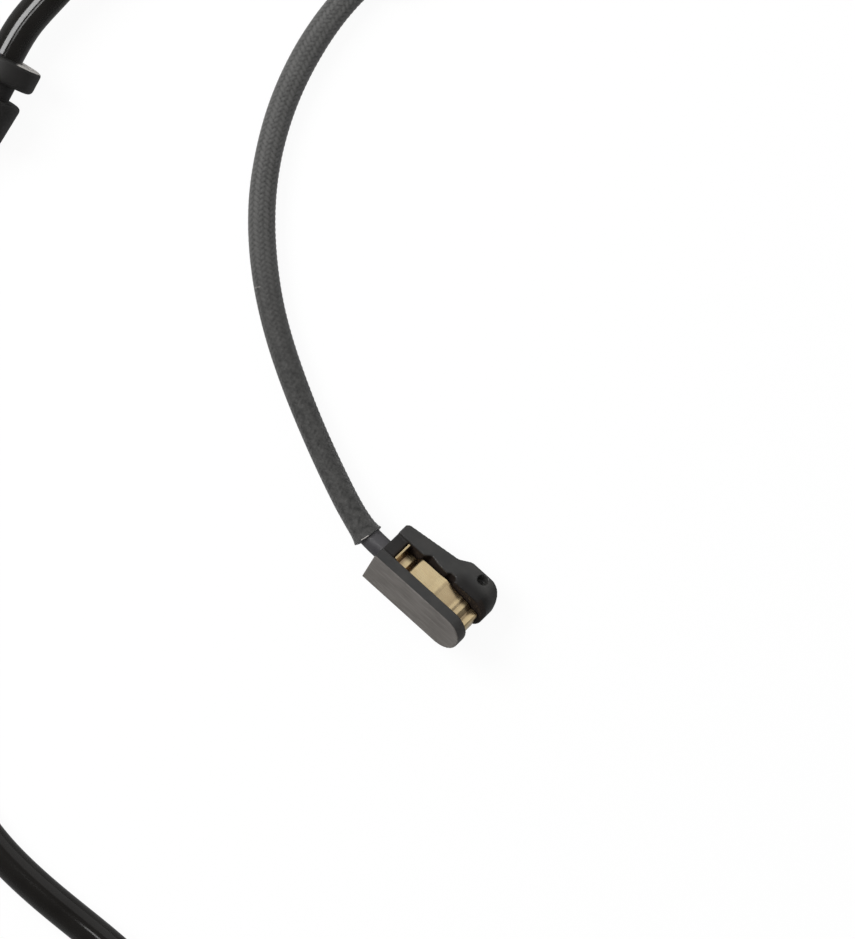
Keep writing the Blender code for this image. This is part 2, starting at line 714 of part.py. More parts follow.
def lead_coil(plan, finishes):
    """The spare lead in a round coil, and the tie round its three strands."""
    centre = plan.matrix_world @ Vector((*COIL_CENTRE, 0))
    section = hull_of_circles(strand_centres(), TUBE_RADIUS, 24)
    ring = turned([(height, radius) for radius, height in section], 64)
    ring.transform(Matrix.Rotation(math.radians(-90), 4, "Y"))
    coil = add_mesh("lead_coil", ring, finishes["tube"], None)
    coil.location = centre

    inner = hull_of_circles(strand_centres(), TUBE_RADIUS + FIT_GAP, 24)
    outer = hull_of_circles(strand_centres(), TUBE_RADIUS + FIT_GAP + TIE_THICKNESS, 24)
    half = TIE_WIDTH / 2
    band = prism(outer, -half, half, "y")
    spot = add_empty("tie_frame", centre, (0, 0, TIE_ANGLE))
    tie = add_mesh("coil_tie", band, finishes["tie"], spot)
    outside = COIL_OUTER_TRACK + TUBE_RADIUS + FIT_GAP
    lock_z = COIL_BASE + TUBE_RADIUS
    lock = box(
        (outside + 0.2 * MM, -half - 0.8 * MM, lock_z - 2.2 * MM),
        (outside + TIE_THICKNESS + 3.2 * MM, half + 0.8 * MM, lock_z + 2.2 * MM),
    )
    combine(tie, "UNION", lock, "tie_lock", spot)
    hollow = prism(inner, -2 * TIE_WIDTH, 2 * TIE_WIDTH, "y")
    combine(tie, "DIFFERENCE", hollow, "tie_hollow", spot)


def bracket_grommet(plan, finish):
    """Rubber grommet on the tube: a round flange, a groove for a bracket and a long body."""
    bore = TUBE_RADIUS + FIT_GAP
    groove_from = GROMMET_FLANGE
    groove_to = groove_from + GROMMET_GROOVE
    end = groove_to + GROMMET_BODY
    end_radius = GROMMET_BODY_RADIUS - GROMMET_BODY_TAPER
    edge = 0.8 * MM
    profile = [
        (0, bore),
        (0, GROMMET_FLANGE_RADIUS - edge),
        (edge / 3, GROMMET_FLANGE_RADIUS - edge / 3),
        (edge, GROMMET_FLANGE_RADIUS),
        (groove_from - edge, GROMMET_FLANGE_RADIUS),
        (groove_from - edge / 3, GROMMET_FLANGE_RADIUS - edge / 3),
        (groove_from, GROMMET_FLANGE_RADIUS - edge),
        (groove_from, GROMMET_NECK_RADIUS),
        (groove_to, GROMMET_NECK_RADIUS),
        (groove_to, GROMMET_BODY_RADIUS - edge),
        (groove_to + edge / 3, GROMMET_BODY_RADIUS - edge / 3),
        (groove_to + edge, GROMMET_BODY_RADIUS),
        (end - edge, end_radius),
        (end - edge / 3, end_radius - edge / 3),
        (end, end_radius - edge),
        (end, bore),
    ]
    grommet = add_mesh("bracket_grommet", turned(profile, 40), finish, plan)
    grommet.location = (*(value * MM for value in GROMMET_START), GROMMET_HEIGHT)
    grommet.rotation_euler = (0, GROMMET_TILT, GROMMET_HEADING)


def lead_to_connector(plan, connector, finishes):
    """The outer tube from the coil, through the grommet, to inside the connector's boot."""
    route = route_in_plan(TUBE_ROUTE, plan)
    for x in (-2 * MM, 2 * MM, TUBE_END_IN_BOOT):
        route.append(connector.matrix_world @ Vector((x, 0, 0)))
    line = spline_through(route, 0.5 * MM)
    length = float(np.linalg.norm(np.diff(line, axis=0), axis=1).sum())
    tube = stretch_of(line, TUBE_FROM_COIL, length, ROUTE_STEP * TUBE_RADIUS)
    add_tube("tube_to_connector", tube, TUBE_RADIUS, finishes["tube"], 4)


# Connector

HOUSING_START = BOOT_LENGTH + FIT_GAP
HOUSING_END = HOUSING_START + HOUSING_LENGTH
MOUTH_START = HOUSING_END - MOUTH_DEPTH
SEAL_BORE_END = HOUSING_START + SEAL_BORE_LENGTH


def connector_boot(finish, frame):
    bore = TUBE_RADIUS + FIT_GAP
    front = HOUSING_HEIGHT / 2 - 0.1 * MM
    profile = [(0, bore), (0, BOOT_BACK_RADIUS)]
    ribs = 3
    pitch = (BOOT_LENGTH - 2 * MM) / ribs
    for k in range(ribs):
        at = MM + k * pitch
        radius = BOOT_BACK_RADIUS + (front - BOOT_BACK_RADIUS) * (at / BOOT_LENGTH)
        profile += [
            (at, radius),
            (at + 0.3 * pitch, radius - 0.45 * MM),
            (at + 0.7 * pitch, radius - 0.45 * MM),
        ]
    profile += [
        (BOOT_LENGTH - MM, front),
        (BOOT_LENGTH, front),
        (BOOT_LENGTH, TERMINAL_PITCH / 2 + WIRE_RADIUS + FIT_GAP),
        (BOOT_LENGTH - 1.5 * MM, TERMINAL_PITCH / 2 + WIRE_RADIUS + FIT_GAP),
        (TUBE_END_IN_BOOT + MM, bore),
    ]
    return add_mesh("connector_boot", turned(profile), finish, frame)


def connector_housing(finish, frame):
    """Shell with a mating mouth, two seal bores behind it and a latch ramp on top."""
    outline = rounded_rectangle(HOUSING_WIDTH, HOUSING_HEIGHT, HOUSING_CORNER)
    housing = add_mesh(
        "connector_housing", prism(outline, HOUSING_START, HOUSING_END, "x"), finish, frame
    )
    soften_edges(housing, 0.4 * MM)
    top = HOUSING_HEIGHT / 2
    ramp = prism(
        [
            (MOUTH_START, top - 0.5 * MM),
            (HOUSING_END - 1.5 * MM, top - 0.5 * MM),
            (HOUSING_END - 2.5 * MM, top + 0.2 * MM),
            (MOUTH_START + 3.5 * MM, top + 1.3 * MM),
            (MOUTH_START + 2.5 * MM, top + 1.3 * MM),
        ],
        -2.6 * MM,
        2.6 * MM,
        "y",
    )
    combine(housing, "UNION", ramp, "latch_ramp", frame)
    collar = prism(
        rounded_rectangle(HOUSING_WIDTH + 1.4 * MM, HOUSING_HEIGHT, HOUSING_CORNER),
        MOUTH_START - 3.2 * MM,
        MOUTH_START - 1.6 * MM,
        "x",
    )
    combine(housing, "UNION", collar, "stop_collar", frame)
    mouth = prism(mouth_outline(0), MOUTH_START, HOUSING_END + MM, "x")
    combine(housing, "DIFFERENCE", mouth, "mouth_cut", frame)
    for letter, y in terminal_places():
        radius = SEAL_BORE_RADIUS
        start = HOUSING_START - MM
        bore = turned([(start, 0), (start, radius), (SEAL_BORE_END, radius), (SEAL_BORE_END, 0)])
        bore.transform(Matrix.Translation((0, y, 0)))
        combine(housing, "DIFFERENCE", bore, f"seal_bore_{letter}", frame)
        half_width = TERMINAL_WIDTH / 2 + FIT_GAP
        half_height = TERMINAL_THICKNESS / 2 + FIT_GAP
        slot = box(
            (SEAL_BORE_END - 0.5 * MM, y - half_width, -half_height),
            (MOUTH_START + 0.5 * MM, y + half_width, half_height),
        )
        combine(housing, "DIFFERENCE", slot, f"terminal_slot_{letter}", frame)
    return housing


def terminal_places():
    return (("a", -TERMINAL_PITCH / 2), ("b", TERMINAL_PITCH / 2))


def mouth_outline(inset):
    wall = 2 * (MOUTH_WALL + inset)
    corner = HOUSING_CORNER - MOUTH_WALL - inset
    return rounded_rectangle(HOUSING_WIDTH - wall, HOUSING_HEIGHT - wall, corner)


def terminal_lock(finish, frame):
    """Plate at the foot of the mouth that keeps both terminals in place."""
    start = MOUTH_START + FIT_GAP
    plate = prism(mouth_outline(FIT_GAP), start, start + LOCK_THICKNESS, "x")
    lock = add_mesh("terminal_lock", plate, finish, frame)
    for letter, y in terminal_places():
        half_width = TERMINAL_WIDTH / 2 + FIT_GAP
        half_height = TERMINAL_THICKNESS / 2 + FIT_GAP
        slot = box(
            (start - MM, y - half_width, -half_height),
            (start + LOCK_THICKNESS + MM, y + half_width, half_height),
        )
        combine(lock, "DIFFERENCE", slot, f"lock_slot_{letter}", frame)
    return lock


def interface_seal(finish, frame):
    """Gasket on the lock plate, round the foot of the mouth."""
    start = MOUTH_START + 2 * FIT_GAP + LOCK_THICKNESS
    end = start + GASKET_THICKNESS
    seal = add_mesh("interface_seal", prism(mouth_outline(FIT_GAP), start, end, "x"), finish, frame)
    middle = prism(mouth_outline(FIT_GAP + 1.0 * MM), start - MM, end + MM, "x")
    combine(seal, "DIFFERENCE", middle, "seal_hollow", frame)
    return seal


def terminals_and_wires(brass, insulation, rubber, frame):
    """Blade terminals with crimped barrels, their wires and the wire seals."""
    barrel_start = HOUSING_START + SEAL_LENGTH + MM
    for letter, y in terminal_places():
        blade = add_mesh(
            f"terminal_{letter}",
            box(
                (SEAL_BORE_END - 0.8 * MM, y - TERMINAL_WIDTH / 2, -TERMINAL_THICKNESS / 2),
                (MOUTH_START + TERMINAL_REACH, y + TERMINAL_WIDTH / 2, TERMINAL_THICKNESS / 2),
            ),
            brass,
            frame,
        )
        barrel_radius = WIRE_RADIUS + FIT_GAP + 0.35 * MM
        barrel = turned(
            [
                (barrel_start, 0),
                (barrel_start, barrel_radius),
                (SEAL_BORE_END - 0.4 * MM, barrel_radius),
                (SEAL_BORE_END - 0.4 * MM, 0),
            ],
            20,
        )
        barrel.transform(Matrix.Translation((0, y, 0)))
        combine(blade, "UNION", barrel, f"barrel_{letter}", frame)
        socket = turned(
            [
                (barrel_start - MM, 0),
                (barrel_start - MM, WIRE_RADIUS + FIT_GAP),
                (barrel_start + 1.2 * MM, WIRE_RADIUS + FIT_GAP),
                (barrel_start + 1.2 * MM, 0),
            ],
            20,
        )
        socket.transform(Matrix.Translation((0, y, 0)))
        combine(blade, "DIFFERENCE", socket, f"barrel_socket_{letter}", frame)

        side = math.copysign(WIRE_RADIUS + FIT_GAP / 2, y)
        wire_route = [
            (TUBE_END_IN_BOOT + FIT_GAP, side, 0),
            (TUBE_END_IN_BOOT + 1.0 * MM, side + 0.12 * (y - side), 0),
            (BOOT_LENGTH - 1.2 * MM, side + 0.82 * (y - side), 0),
            (BOOT_LENGTH + FIT_GAP, y, 0),
            (HOUSING_START + SEAL_LENGTH / 2, y, 0),
            (barrel_start + 0.9 * MM, y, 0),
        ]
        points = spline_through(wire_route, 0.7 * MM)
        add_tube(f"connector_wire_{letter}", points, WIRE_RADIUS, insulation, 2, frame)

        outer = SEAL_BORE_RADIUS - FIT_GAP
        inner = WIRE_RADIUS + FIT_GAP
        seal_start = HOUSING_START + 0.4 * MM
        ribs = 3
        pitch = SEAL_LENGTH / ribs
        profile = [(seal_start, inner)]
        for k in range(ribs):
            at = seal_start + k * pitch
            profile += [
                (at, outer - 0.25 * MM),
                (at + 0.3 * pitch, outer),
                (at + 0.6 * pitch, outer),
                (at + 0.9 * pitch, outer - 0.25 * MM),
            ]
        profile.append((seal_start + SEAL_LENGTH, outer - 0.25 * MM))
        profile.append((seal_start + SEAL_LENGTH, inner))
        seal = turned(profile, 20)
        seal.transform(Matrix.Translation((0, y, 0)))
        add_mesh(f"wire_seal_{letter}", seal, rubber, frame)


# Assembly


def build():
    clear_scene()
    black_plastic = material("black_plastic", (0.045, 0.044, 0.044), 0.55)
    brass = material("brass_strip", (0.55, 0.44, 0.24), 0.32, 1.0)
    copper = material("copper_wire", (0.60, 0.30, 0.17), 0.35, 1.0)
    insulation = material("wire_insulation", (0.05, 0.05, 0.055), 0.5)
    potting = material("potting_resin", (0.02, 0.02, 0.02), 0.4)
    rubber = material("grommet_rubber", (0.02, 0.019, 0.018), 0.6)
    seal_rubber = material("seal_rubber", (0.16, 0.07, 0.03), 0.6)
    finishes = {
        "core": material("core_sheath", (0.05, 0.05, 0.055), 0.5),
        "sleeve": material("woven_sleeve", (0.07, 0.07, 0.068), 0.85),
        "tube": material("gloss_tube", (0.012, 0.011, 0.01), 0.15),
        "tie": material("tie_nylon", (0.02, 0.02, 0.02), 0.45),
        "rubber": rubber,
    }

    head = add_empty("head_frame", (0, 0, 0), (-HEAD_ROLL, -HEAD_PITCH, 0))
    pieces = [
        head_body(black_plastic, head),
        spring_clip(brass, head),
        potting_seal(potting, head),
        *head_wiring(copper, insulation, head),
    ]
    low, high = corners_of(pieces)
    head.location = (-(low.x + high.x) / 2, -(low.y + high.y) / 2, -low.z)

    bpy.context.view_layer.update()
    start = head.matrix_world @ Vector((HEAD_SLIP, 0, 0))
    plan = add_empty("plan_frame", (start.x, start.y, 0), (0, 0, PLAN_TURN))
    bpy.context.view_layer.update()
    lead_from_head(head, plan, finishes)
    lead_coil(plan, finishes)
    bracket_grommet(plan, rubber)

    boot_at = (BOOT_BACK[0] * MM, BOOT_BACK[1] * MM, HOUSING_HEIGHT / 2)
    connector = add_empty("connector_frame", boot_at, (0, 0, -PLAN_TURN), plan)
    bpy.context.view_layer.update()
    lead_to_connector(plan, connector, finishes)
    connector_boot(rubber, connector)
    connector_housing(black_plastic, connector)
    terminal_lock(black_plastic, connector)
    interface_seal(seal_rubber, connector)
    terminals_and_wires(brass, insulation, seal_rubber, connector)


build()
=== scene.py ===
import math

import bmesh
import bpy
import numpy as np
from mathutils import Euler, Matrix, Vector


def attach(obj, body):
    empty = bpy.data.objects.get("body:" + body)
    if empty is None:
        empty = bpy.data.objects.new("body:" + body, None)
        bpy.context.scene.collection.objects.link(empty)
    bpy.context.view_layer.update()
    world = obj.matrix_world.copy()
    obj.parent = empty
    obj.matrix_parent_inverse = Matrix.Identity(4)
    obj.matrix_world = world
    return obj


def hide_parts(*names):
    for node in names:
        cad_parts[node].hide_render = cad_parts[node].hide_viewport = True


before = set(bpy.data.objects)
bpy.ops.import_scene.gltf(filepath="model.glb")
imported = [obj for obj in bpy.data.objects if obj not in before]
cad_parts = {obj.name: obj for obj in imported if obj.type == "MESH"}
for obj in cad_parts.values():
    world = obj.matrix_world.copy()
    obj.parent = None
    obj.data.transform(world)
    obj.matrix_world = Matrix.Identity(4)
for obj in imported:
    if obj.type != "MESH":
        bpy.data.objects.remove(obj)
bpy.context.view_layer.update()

mm = 0.001
sharpFrom = math.radians(50)  # edges bent more than this stay sharp
print("frame loaded:", len(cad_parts), "nodes")

placeFacts = {
    "head": (-11.457, -3.419, 12.447),  # mm, the top of the plain cheek's back corner
    "lean": -32,  # degrees, over to the far side
    "noseUp": -6.3,
    "plan": (-11.259, -3.419, 0),
    "pictureTurn": 42,  # degrees from the frame's x to the picture's
    "plug": (3.801, -90.042, 5.2),
}


def frameAt(origin, turns=(0, 0, 0)):  # origin in mm, turns in degrees
    return Matrix.LocRotScale(Vector(origin) * mm, Euler([math.radians(turn) for turn in turns]),
                              Vector((1, 1, 1)))


# The head's own frame: x from its back to its nose, y across from the plain cheek, z up
# from the cheeks' tops. The plan frame lies on the floor, turned as the picture is.
headFrame = frameAt(placeFacts["head"], (placeFacts["lean"], placeFacts["noseUp"], 0))
planFrame = frameAt(placeFacts["plan"], (0, 0, placeFacts["pictureTurn"]))
plugFrame = frameAt(placeFacts["plug"])


def inPlan(point):
    return planFrame @ (Vector(point) * mm)


# Camera, straight above

cameraFacts = {
    "pixelsPerMm": 5.4,
    "imageHeight": 939,
    "aim": (9.667, 16.241, 5.0),  # plan mm, the middle of the picture
    "distance": 2.0,  # m
    "sensor": 36.0,
    "clip": (0.05, 20),  # m
}


def placeCamera(facts):
    tall = facts["imageHeight"] / facts["pixelsPerMm"] * mm
    camera = bpy.data.objects.new("pictureCamera", bpy.data.cameras.new("pictureCamera"))
    bpy.context.scene.collection.objects.link(camera)
    camera.location = inPlan(facts["aim"]) + Vector((0, 0, facts["distance"]))
    camera.rotation_euler = (0, 0, math.radians(placeFacts["pictureTurn"]))
    camera.data.sensor_fit = "VERTICAL"
    camera.data.sensor_height = facts["sensor"]
    camera.data.lens = facts["sensor"] * facts["distance"] / tall
    camera.data.clip_start, camera.data.clip_end = facts["clip"]
    bpy.context.scene.camera = camera


placeCamera(cameraFacts)
bpy.context.scene.view_settings.view_transform = "Standard"
print("camera placed")


# Lines that the lead follows

def smoothLine(points, step, between=24):  # natural cubic spline, cut into even steps
    knots = np.array([tuple(p) for p in points])
    chords = np.linalg.norm(np.diff(knots, axis=0), axis=1)
    count = len(knots)
    system = np.eye(count)
    sides = np.zeros_like(knots)
    for k in range(1, count - 1):
        system[k, k - 1:k + 2] = chords[k - 1], 2 * (chords[k - 1] + chords[k]), chords[k]
        sides[k] = 6 * ((knots[k + 1] - knots[k]) / chords[k]
                        - (knots[k] - knots[k - 1]) / chords[k - 1])
    bends = np.linalg.solve(system, sides)
    fine = []
    for k in range(count - 1):
        span = chords[k]
        for t in np.linspace(0, span, between, endpoint=k == count - 2):
            left, right = span - t, t
            fine.append((bends[k] * left**3 + bends[k + 1] * right**3) / (6 * span)
                        + (knots[k] / span - bends[k] * span / 6) * left
                        + (knots[k + 1] / span - bends[k + 1] * span / 6) * right)
    return evenly(np.array(fine), 0, None, step)


def runOf(line):  # the length along a line at each of its points
    return np.concatenate([[0.0], np.cumsum(np.linalg.norm(np.diff(line, axis=0), axis=1))])


def evenly(line, start, end, step):  # the stretch between two lengths along a line
    run = runOf(line)
    end = run[-1] if end is None else end
    marks = np.linspace(start, end, max(2, round((end - start) / step) + 1))
    return np.array([np.interp(marks, run, line[:, axis]) for axis in range(3)]).T


def sideVectors(line):  # two directions across the line at each point, without twist
    along = np.gradient(line, axis=0)
    along /= np.linalg.norm(along, axis=1)[:, None]
    first = np.cross((0, 0, 1.0), along[0])
    first /= np.linalg.norm(first)
    sides = [first]
    for k in range(1, len(line)):
        side = sides[-1] - along[k] * np.dot(sides[-1], along[k])
        sides.append(side / np.linalg.norm(side))
    sides = np.array(sides)
    return along, sides, np.cross(along, sides)


def turnOutwards(mesh):
    form = bmesh.new()
    form.from_mesh(mesh)
    bmesh.ops.recalc_face_normals(form, faces=form.faces)
    form.to_mesh(mesh)
    form.free()


def addObject(name, mesh, finish, smooth=True, matrix=None):
    if smooth:
        mesh.shade_smooth()
    mesh.materials.append(finish)
    obj = bpy.data.objects.new(name, mesh)
    bpy.context.scene.collection.objects.link(obj)
    if matrix is not None:
        obj.matrix_world = matrix
    return obj


def roundAngles(sides):
    return np.linspace(0, 2 * math.pi, sides, endpoint=False)


# A closed round skin along a line. radius is a function of (length along, angle round).
def sweptSkin(name, line, radius, sides, finish):
    along, across, up = sideVectors(line)
    angles = roundAngles(sides)
    reach = np.broadcast_to(radius(runOf(line)[:, None], angles[None, :]), (len(line), sides))
    offset = (across[:, None, :] * np.cos(angles)[None, :, None]
              + up[:, None, :] * np.sin(angles)[None, :, None])
    rings = line[:, None, :] + offset * reach[:, :, None]
    count = len(line)
    faces = [(k * sides + j, k * sides + (j + 1) % sides, (k + 1) * sides + (j + 1) % sides,
              (k + 1) * sides + j) for k in range(count - 1) for j in range(sides)]
    faces += [list(range(sides))[::-1], [(count - 1) * sides + j for j in range(sides)]]
    mesh = bpy.data.meshes.new(name)
    mesh.from_pydata(rings.reshape(-1, 3).tolist(), [], faces)
    mesh.update()
    piece = addObject(name, mesh, finish)
    mesh.set_sharp_from_angle(angle=sharpFrom)
    return piece


# Finishes

def newFinish(name, color, roughness, metallic=0.0):
    made = bpy.data.materials.new(name)
    made.use_nodes = True
    shader = made.node_tree.nodes["Principled BSDF"]
    shader.inputs["Base Color"].default_value = (*color, 1)
    shader.inputs["Roughness"].default_value = roughness
    shader.inputs["Metallic"].default_value = metallic
    made.diffuse_color = (*color, 1)
    return made, made.node_tree.nodes, made.node_tree.links, shader


def addNode(nodes, kind, **settings):
    node = nodes.new(kind)
    for name, value in settings.items():
        setattr(node, name, value)
    return node


def addValue(nodes, value):
    node = addNode(nodes, "ShaderNodeValue")
    node.outputs[0].default_value = value
    return node.outputs[0]


def placeOnPiece(nodes):
    return addNode(nodes, "ShaderNodeTexCoord").outputs["Object"]


def coordinatesOf(nodes, links, place):
    split = addNode(nodes, "ShaderNodeSeparateXYZ")
    links.new(place, split.inputs[0])
    return split.outputs


# scale: cells of noise to the metre
def noiseOn(nodes, links, place, scale, detail=3.0, roughness=0.5, stretch=(1, 1, 1)):
    mapping = addNode(nodes, "ShaderNodeMapping")
    mapping.inputs["Scale"].default_value = stretch
    links.new(place, mapping.inputs["Vector"])
    noise = addNode(nodes, "ShaderNodeTexNoise")
    noise.inputs["Scale"].default_value = scale
    noise.inputs["Detail"].default_value = detail
    noise.inputs["Roughness"].default_value = roughness
    links.new(mapping.outputs["Vector"], noise.inputs["Vector"])
    return noise.outputs["Fac"]


def rampOf(nodes, links, factor, stops):
    ramp = addNode(nodes, "ShaderNodeValToRGB")
    elements = ramp.color_ramp.elements
    while len(elements) < len(stops):
        elements.new(0.5)
    for element, (at, color) in zip(elements, stops):
        element.position = at
        element.color = (*color, 1) if isinstance(color, tuple) else (color, color, color, 1)
    links.new(factor, ramp.inputs["Fac"])
    return ramp.outputs["Color"]


def bumpOf(nodes, links, shader, heights):  # heights: (socket, distance in mm), in order
    normal = None
    for height, distance in heights:
        bump = addNode(nodes, "ShaderNodeBump")
        bump.inputs["Strength"].default_value = 1.0
        bump.inputs["Distance"].default_value = distance * mm
        links.new(height, bump.inputs["Height"])
        if normal is not None:
            links.new(normal, bump.inputs["Normal"])
        normal = bump.outputs["Normal"]
    links.new(normal, shader.inputs["Normal"])


# A value that goes from 0 to 1 while one coordinate goes from low to high, in mm.
def rise(nodes, links, coordinate, low, high):
    step = addNode(nodes, "ShaderNodeMapRange", interpolation_type="SMOOTHSTEP")
    step.inputs["From Min"].default_value = low * mm
    step.inputs["From Max"].default_value = high * mm
    links.new(coordinate, step.inputs["Value"])
    return step.outputs["Result"]


def product(nodes, links, first, *others):
    for other in others:
        node = addNode(nodes, "ShaderNodeMath", operation="MULTIPLY")
        links.new(first, node.inputs[0])
        links.new(other, node.inputs[1])
        first = node.outputs[0]
    return first


# second is a colour or a socket. A Mix node has its colours at 6, 7 and, mixed, at 2.
def blend(nodes, links, share, first, second):
    node = addNode(nodes, "ShaderNodeMix", data_type="RGBA")
    links.new(share, node.inputs[0])
    links.new(first, node.inputs[6])
    if isinstance(second, tuple):
        node.inputs[7].default_value = (*second, 1)
    else:
        links.new(second, node.inputs[7])
    return node.outputs[2]


mouldedFacts = {
    "color": (0.031, 0.031, 0.0305),
    "pale": (0.046, 0.044, 0.042),
    "roughness": 0.36,
    "specular": 0.3,
    "cloudScale": 250,
    "grainSize": 0.12,  # mm
    "grainHeight": 0.006,  # mm
}


def mouldedPlastic(name, facts, extras=None):
    made, nodes, links, shader = newFinish(name, facts["color"], facts["roughness"])
    place = placeOnPiece(nodes)
    grain = noiseOn(nodes, links, place, 1 / (facts["grainSize"] * mm), 4, 0.6)
    cloud = noiseOn(nodes, links, place, facts["cloudScale"], 3)
    tone = rampOf(nodes, links, cloud, [(0.35, facts["color"]), (0.75, facts["pale"])])
    rough = rampOf(nodes, links, grain, [(0.3, facts["roughness"] - 0.06),
                                         (0.7, facts["roughness"] + 0.1)])
    heights = [(grain, facts["grainHeight"])]
    if extras is not None:
        tone, rough = extras(nodes, links, place, tone, rough, heights)
    shader.inputs["Specular IOR Level"].default_value = facts["specular"]
    links.new(tone, shader.inputs["Base Color"])
    links.new(rough, shader.inputs["Roughness"])
    bumpOf(nodes, links, shader, heights)
    return made


headWearAndShade = {
    # Pairs in mm: where a finish begins and where it is full
    "litScuffed": (0.152, 0.14, 0.129),  # plain cheek's outer face: real scuffs, made paler as a painted reflection of the floor
    "litDirty": (0.108, 0.099, 0.09),
    "litBruised": (0.182, 0.17, 0.158),
    "litFaceAcross": (0.3, 0.08),
    "patchScale": 420,
    "patchStretch": (0.35, 1, 1),
    "scratchScale": 1100,
    "scratchStretch": (1 / 7.0, 1.0, 1.9),
    "scratchHeight": 0.002,  # mm
    "slot": (0.016, 0.0105, 0.0078),  # painted shade inside the slot, browned as by light bounced off the brass
    "slotRoughness": 0.7,
    "slotFromCheek": (2.5, 2.7),
    "slotToCheek": (8.7, 8.5),
    "slotDown": (-0.12, -0.5),
    "bridge": (0.0185, 0.0175, 0.017),  # painted shade at the slot's back end, lighter than the slot's
    "bridgeAlong": (1.6, 3.0),
    # Painted shade along the lug's inner edge, fading outwards:
    "lug": (0.0085, 0.0075, 0.007),
    "lugAlong": (11.5, 15.5),
    "lugFromSlot": (6.5, 7.0),
    "lugOutwards": (11.2, 8.6),
}


# Outer face paled as a painted reflection of the floor, with real scuffs; painted shade in the
# slot and along the lug's inner edge; the coordinates are the head's own.
def wornAndShadedHead(nodes, links, place, tone, rough, heights):
    facts = headWearAndShade
    x, y, z = coordinatesOf(nodes, links, place)
    lines = noiseOn(nodes, links, place, facts["scratchScale"], 4, 0.7, facts["scratchStretch"])
    fine = rampOf(nodes, links, lines, [(0.4, 0.0), (0.66, 1.0)])
    heights.append((fine, facts["scratchHeight"]))
    patches = noiseOn(nodes, links, place, facts["patchScale"], 3, 0.6, facts["patchStretch"])
    # The outer face's tones: real patches and scratches, all made paler as a painted reflection of
    # the floor.
    litScuff = blend(nodes, links, product(nodes, links, fine, fine),
                  rampOf(nodes, links, patches, [(0.32, facts["litDirty"]), (0.6, facts["litScuffed"])]),
                  facts["litBruised"])
    # Painted shade on the lug, dark at its inner edge and fading outwards.
    onLug = product(nodes, links, rise(nodes, links, x, *facts["lugAlong"]),
                    rise(nodes, links, y, *facts["lugOutwards"]),
                    rise(nodes, links, y, *facts["lugFromSlot"]))
    tone = blend(nodes, links, onLug, tone, facts["lug"])
    # Painted shade in the slot, browned as by light off the brass; the slot is made rougher there
    # too.
    inSlot = product(nodes, links, rise(nodes, links, y, *facts["slotFromCheek"]),
                     rise(nodes, links, y, *facts["slotToCheek"]),
                     rise(nodes, links, z, *facts["slotDown"]))
    # Along the slot's floor: the bridge's painted shade, then the slot's darker painted shade.
    slotShadeTone = rampOf(nodes, links, rise(nodes, links, x, *facts["bridgeAlong"]),
                       [(0.0, facts["bridge"]), (1.0, facts["slot"])])
    tone = blend(nodes, links, inSlot, tone, slotShadeTone)
    rough = blend(nodes, links, inSlot, rough, (facts["slotRoughness"],) * 3)
    # Lay the painted floor reflection, with its real scuffs, over the outer face.
    onFace = rise(nodes, links, y, *facts["litFaceAcross"])
    return blend(nodes, links, onFace, tone, litScuff), rough


brassFacts = {
    "color": (0.88, 0.71, 0.42),
    "dull": (0.78, 0.60, 0.34),
    "shadeBrown": (0.34, 0.24, 0.15),  # painted shade in the dips, on the slopes and at the creases
    "paintedShadeLength": 22,  # mm from the head's back
    "paintedShade": [(3.1, 0.0), (3.4, 1.0), (4.0, 0.9), (4.6, 0.2), (5.2, 0.0), (5.7, 1.0),
                (6.4, 0.9), (6.65, 0.0), (7.5, 0.1), (10.4, 0.1), (11.0, 0.16), (11.4, 0.06),
                (12.35, 0.0), (12.8, 0.4), (13.4, 0.38), (15.4, 0.42), (16.0, 0.55), (16.5, 0.0),
                (17.2, 0.45), (18.0, 0.1), (18.5, 0.4), (19.2, 0.8), (19.7, 0.3), (20.1, 0.0)],
    "roughness": 0.26,
    "lineScale": 900,
    "lineStretch": (0.12, 3.0, 3.0),
    "cloudScale": 420,
    "cloudHeight": 0.004,  # mm
}


def rolledBrass(name, facts):
    made, nodes, links, shader = newFinish(name, facts["color"], facts["roughness"], 1.0)
    place = placeOnPiece(nodes)
    lines = noiseOn(nodes, links, place, facts["lineScale"], 2, 0.5, facts["lineStretch"])
    cloud = noiseOn(nodes, links, place, facts["cloudScale"], 3, 0.6)
    tone = rampOf(nodes, links, cloud, [(0.3, facts["dull"]), (0.62, facts["color"])])
    rough = rampOf(nodes, links, lines, [(0.3, facts["roughness"] - 0.05),
                                         (0.7, facts["roughness"] + 0.08)])
    # Painted shade along the strip: brown in its dips, on its slopes and at its creases, by the
    # distance from the head's back.
    along = addNode(nodes, "ShaderNodeMapRange")
    along.inputs["From Max"].default_value = facts["paintedShadeLength"] * mm
    links.new(coordinatesOf(nodes, links, place)["X"], along.inputs["Value"])
    stops = [(at / facts["paintedShadeLength"], share) for at, share in facts["paintedShade"]]
    shadeBrown = rampOf(nodes, links, along.outputs["Result"], stops)
    tone = blend(nodes, links, shadeBrown, tone, facts["shadeBrown"])
    links.new(tone, shader.inputs["Base Color"])
    links.new(rough, shader.inputs["Roughness"])
    bumpOf(nodes, links, shader, [(cloud, facts["cloudHeight"])])
    return made


